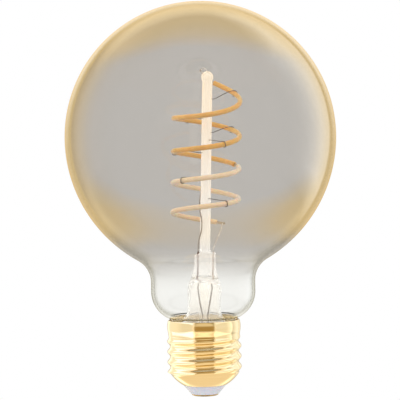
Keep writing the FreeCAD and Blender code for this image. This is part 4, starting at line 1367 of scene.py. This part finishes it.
@dataclass
class Studio:
    """A plain white studio: pale floor, bright backdrop, soft lights at the sides and a dim warm front."""

    backdrop_white: float = 1.0
    front: Colour = (0.88, 0.75, 0.55)
    camera_side: Colour = (0.45, 0.29, 0.10)
    side: Colour = (0.33, 0.28, 0.19)
    far_side: Colour = (0.75, 0.66, 0.46)
    above: Colour = (1.12, 1.04, 0.86)
    behind_low: Colour = (0.74, 0.68, 0.54)
    right_box: Colour = (1.2, 1.2, 1.2)
    left_box: Colour = (0.5, 0.44, 0.36)
    room_light: float = 1.3
    floor_light: float = 0.62
    floor_size: float = 3.0
    floor_tiles: int = 24
    distance: float = 464 * MM
    eye_height: float = 68.5 * MM
    eye_side: float = -0.545 * MM
    roll: float = math.radians(1.08)
    lens: float = 118.8
    film: float = 36.0

    # where each part of the surround begins and ends, in parts of a direction of length 1
    front_end: Point2 = (-0.90, -0.76)
    far_start: Point2 = (0.45, 0.70)
    dark_foot: Point2 = (-0.29, -0.22)
    dark_top: Point2 = (0.12, 0.22)
    dark_end: Point2 = (-0.88, -0.76)
    overhead_foot: Point2 = (0.50, 0.60)
    overhead_end: Point2 = (-0.1, 0.1)
    ceiling_foot: Point2 = (0.45, 0.65)
    box_end: Point2 = (0.72, 0.79)
    box_top: Point2 = (0.72, 0.90)
    box_foot: Point2 = (-0.45, -0.25)
    box_side: Point2 = (0.05, 0.25)
    right_rise: Point2 = (-0.25, 0.53)
    left_rise: Point2 = (-0.35, 0.15)
    backdrop_start: Point2 = (0.80, 0.87)
    horizon: Point2 = (0.0, 0.25)

    # name, azimuth, distance, height of the middle, width, height, glow and colour
    lights: tuple[Softbox, ...] = (
        Softbox("softbox_left", -85.5, 0.5, 0.2, 1.455, 1.4, 0.62),
        Softbox("softbox_right", 66.5, 0.5, 0.2, 0.662, 1.4, 0.65),
        Softbox("table_light", 0, 0.3, -0.35, 1.8, 1.6, 0.66, (1.0, 0.84, 0.65), True, True),
        Softbox("high_left", -80, 0.5, 0.38, 1.0, 0.34, 1.0, (0.45, 0.55, 1.0), True),
        Softbox("low_left", -80, 0.5, -0.28, 1.0, 0.3, 0.8, (0.45, 0.55, 1.0), True),
        Softbox("high_right", 80, 0.5, 0.36, 0.9, 0.3, 0.5, (0.55, 0.65, 1.0), True),
        Softbox("back_left", -148.5, 0.5, 0.2, 0.15, 1.4, 0.6, cap_only=True),
        Softbox("back_right", 148.5, 0.5, 0.2, 0.15, 1.4, 0.3, cap_only=True),
    )

    def surround(self, graph: Graph, ways: Socket, diffuse: float) -> Socket:
        """The light that comes from each direction of the studio.

        Args:
            graph: the graph to add to.
            ways: the direction, as seen from the bulb.
            diffuse: the light that matt surfaces get.

        Returns:
            The light's colour and strength in one.
        """
        split = graph.node("SeparateXYZ", {0: ways}).outputs
        across, ahead, up = split["X"], split["Y"], split["Z"]
        room = graph.blend(graph.spread(ahead, self.front_end, soft=True), self.front, self.side)
        room = graph.blend(graph.spread(ahead, self.far_start, soft=True), room, self.far_side)
        level = graph.times(graph.spread(up, self.dark_foot), graph.spread(up, self.dark_top, FALLING))
        dark = graph.times(level, graph.spread(ahead, self.dark_end, FALLING))
        overhead = graph.spread(ahead, self.overhead_end, FALLING)
        overhead = graph.times(graph.spread(up, self.overhead_foot), overhead)
        room = graph.blend(graph.math("MAXIMUM", dark, overhead), room, self.camera_side)
        tall = graph.times(graph.spread(up, self.box_top, FALLING), graph.spread(up, self.box_foot))
        box = graph.times(graph.spread(ahead, self.box_end, FALLING, soft=True), tall)
        for hand, rise, glow in ((1, self.right_rise, self.right_box), (-1, self.left_rise, self.left_box)):
            side = graph.spread(across, (hand * self.box_side[0], hand * self.box_side[1]), soft=True)
            room = graph.blend(graph.times(box, graph.spread(ahead, rise), side), room, glow)
        ceiling = graph.times(graph.spread(up, self.ceiling_foot), graph.spread(ahead, self.far_start))
        room = graph.blend(ceiling, room, self.above)
        white = (self.backdrop_white,) * 3
        behind = graph.blend(graph.spread(up, self.horizon), self.behind_low, white)
        room = graph.blend(graph.spread(ahead, self.backdrop_start), room, behind)
        path = graph.node("LightPath").outputs
        room = graph.blend(path["Is Diffuse Ray"], room, (diffuse,) * 3)
        seen = graph.math("MAXIMUM", path["Is Camera Ray"], path["Is Transmission Ray"])
        return graph.blend(seen, room, white)

    def floor(self) -> None:
        """The floor, which touches the contact and glows as bright as the backdrop."""
        half, count = self.floor_size / 2, self.floor_tiles
        row = [-half + self.floor_size * i / count for i in range(count + 1)]
        points = [Vector((x, y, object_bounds()[0][2])) for y in row for x in row]
        corners = [j * (count + 1) + i for j in range(count) for i in range(count)]
        faces = [(c, c + 1, c + count + 2, c + count + 1) for c in corners]
        floor = make_object("studio_floor", points, faces)
        material = bpy.data.materials.new("studio_floor")
        material.use_nodes = True
        graph = Graph(material.node_tree)
        ways = graph.node("VectorMath", {0: graph.place()}, operation="NORMALIZE").outputs[0]
        light = self.surround(graph, ways, self.floor_light)
        graph.show(graph.node("Emission", {"Color": light}))
        floor.data.materials.append(material)
        floor.visible_glossy = False
        floor.visible_shadow = False
        floor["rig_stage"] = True

    def backdrop(self) -> None:
        """The studio around the floor."""
        world = bpy.data.worlds.new("studio")
        world.use_nodes = True
        world.cycles.sampling_method = "NONE"
        bpy.context.scene.world = world
        graph = Graph(world.node_tree)
        light = self.surround(graph, graph.node("TexCoord").outputs["Generated"], self.room_light)
        graph.show(graph.node("Background", {"Color": light}), "OutputWorld")

    def camera(self) -> None:
        """A level camera in front of the bulb, turned a little about its own axis."""
        lens = bpy.data.cameras.new("camera")
        lens.lens, lens.sensor_width = self.lens, self.film
        lens.clip_start = 0.01
        camera = bpy.data.objects.new("camera", lens)
        level = Matrix.Rotation(math.pi / 2, 4, "X")
        place = Matrix.Translation((self.eye_side, -self.distance, self.eye_height))
        camera.matrix_world = place @ level @ Matrix.Rotation(-self.roll, 4, "Z")
        bpy.context.scene.collection.objects.link(camera)
        bpy.context.scene.camera = camera

    def build(self) -> None:
        """Sets the stage and the colour and bounce limits that the glass needs."""
        self.floor()
        self.backdrop()
        inside = bpy.data.collections.new("all_but_globe")
        cap = bpy.data.collections.new("cap")
        for piece in bpy.context.scene.objects:
            nodes = piece.get("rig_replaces", [])
            if piece.type == "MESH" and "glass_envelope" not in nodes:
                inside.objects.link(piece)
            if "screw_shell" in nodes:
                cap.objects.link(piece)
        for light in self.lights:
            light.build(cap if light.cap_only else inside)
        self.camera()
        scene = bpy.context.scene
        scene.view_settings.view_transform = "Standard"
        scene.cycles.max_bounces = 28
        scene.cycles.transmission_bounces = 28
        scene.cycles.transparent_max_bounces = 32
        scene.cycles.glossy_bounces = 8
        scene.cycles.blur_glossy = 0.2


def main() -> None:
    """Loads the frame, builds every sub-assembly around it and sets up the studio."""
    logging.basicConfig(level=logging.INFO, format="%(name)s: %(message)s")
    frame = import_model()
    stem = Stem()
    Globe().build()
    stem.build()
    Filament(stem).build()
    ScrewCap().build()
    replaced = tuple(node for piece in bpy.data.objects for node in piece.get("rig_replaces", []))
    PackedPieces(frame, replaced).build()
    Studio().build()


if __name__ == "__main__":
    main()
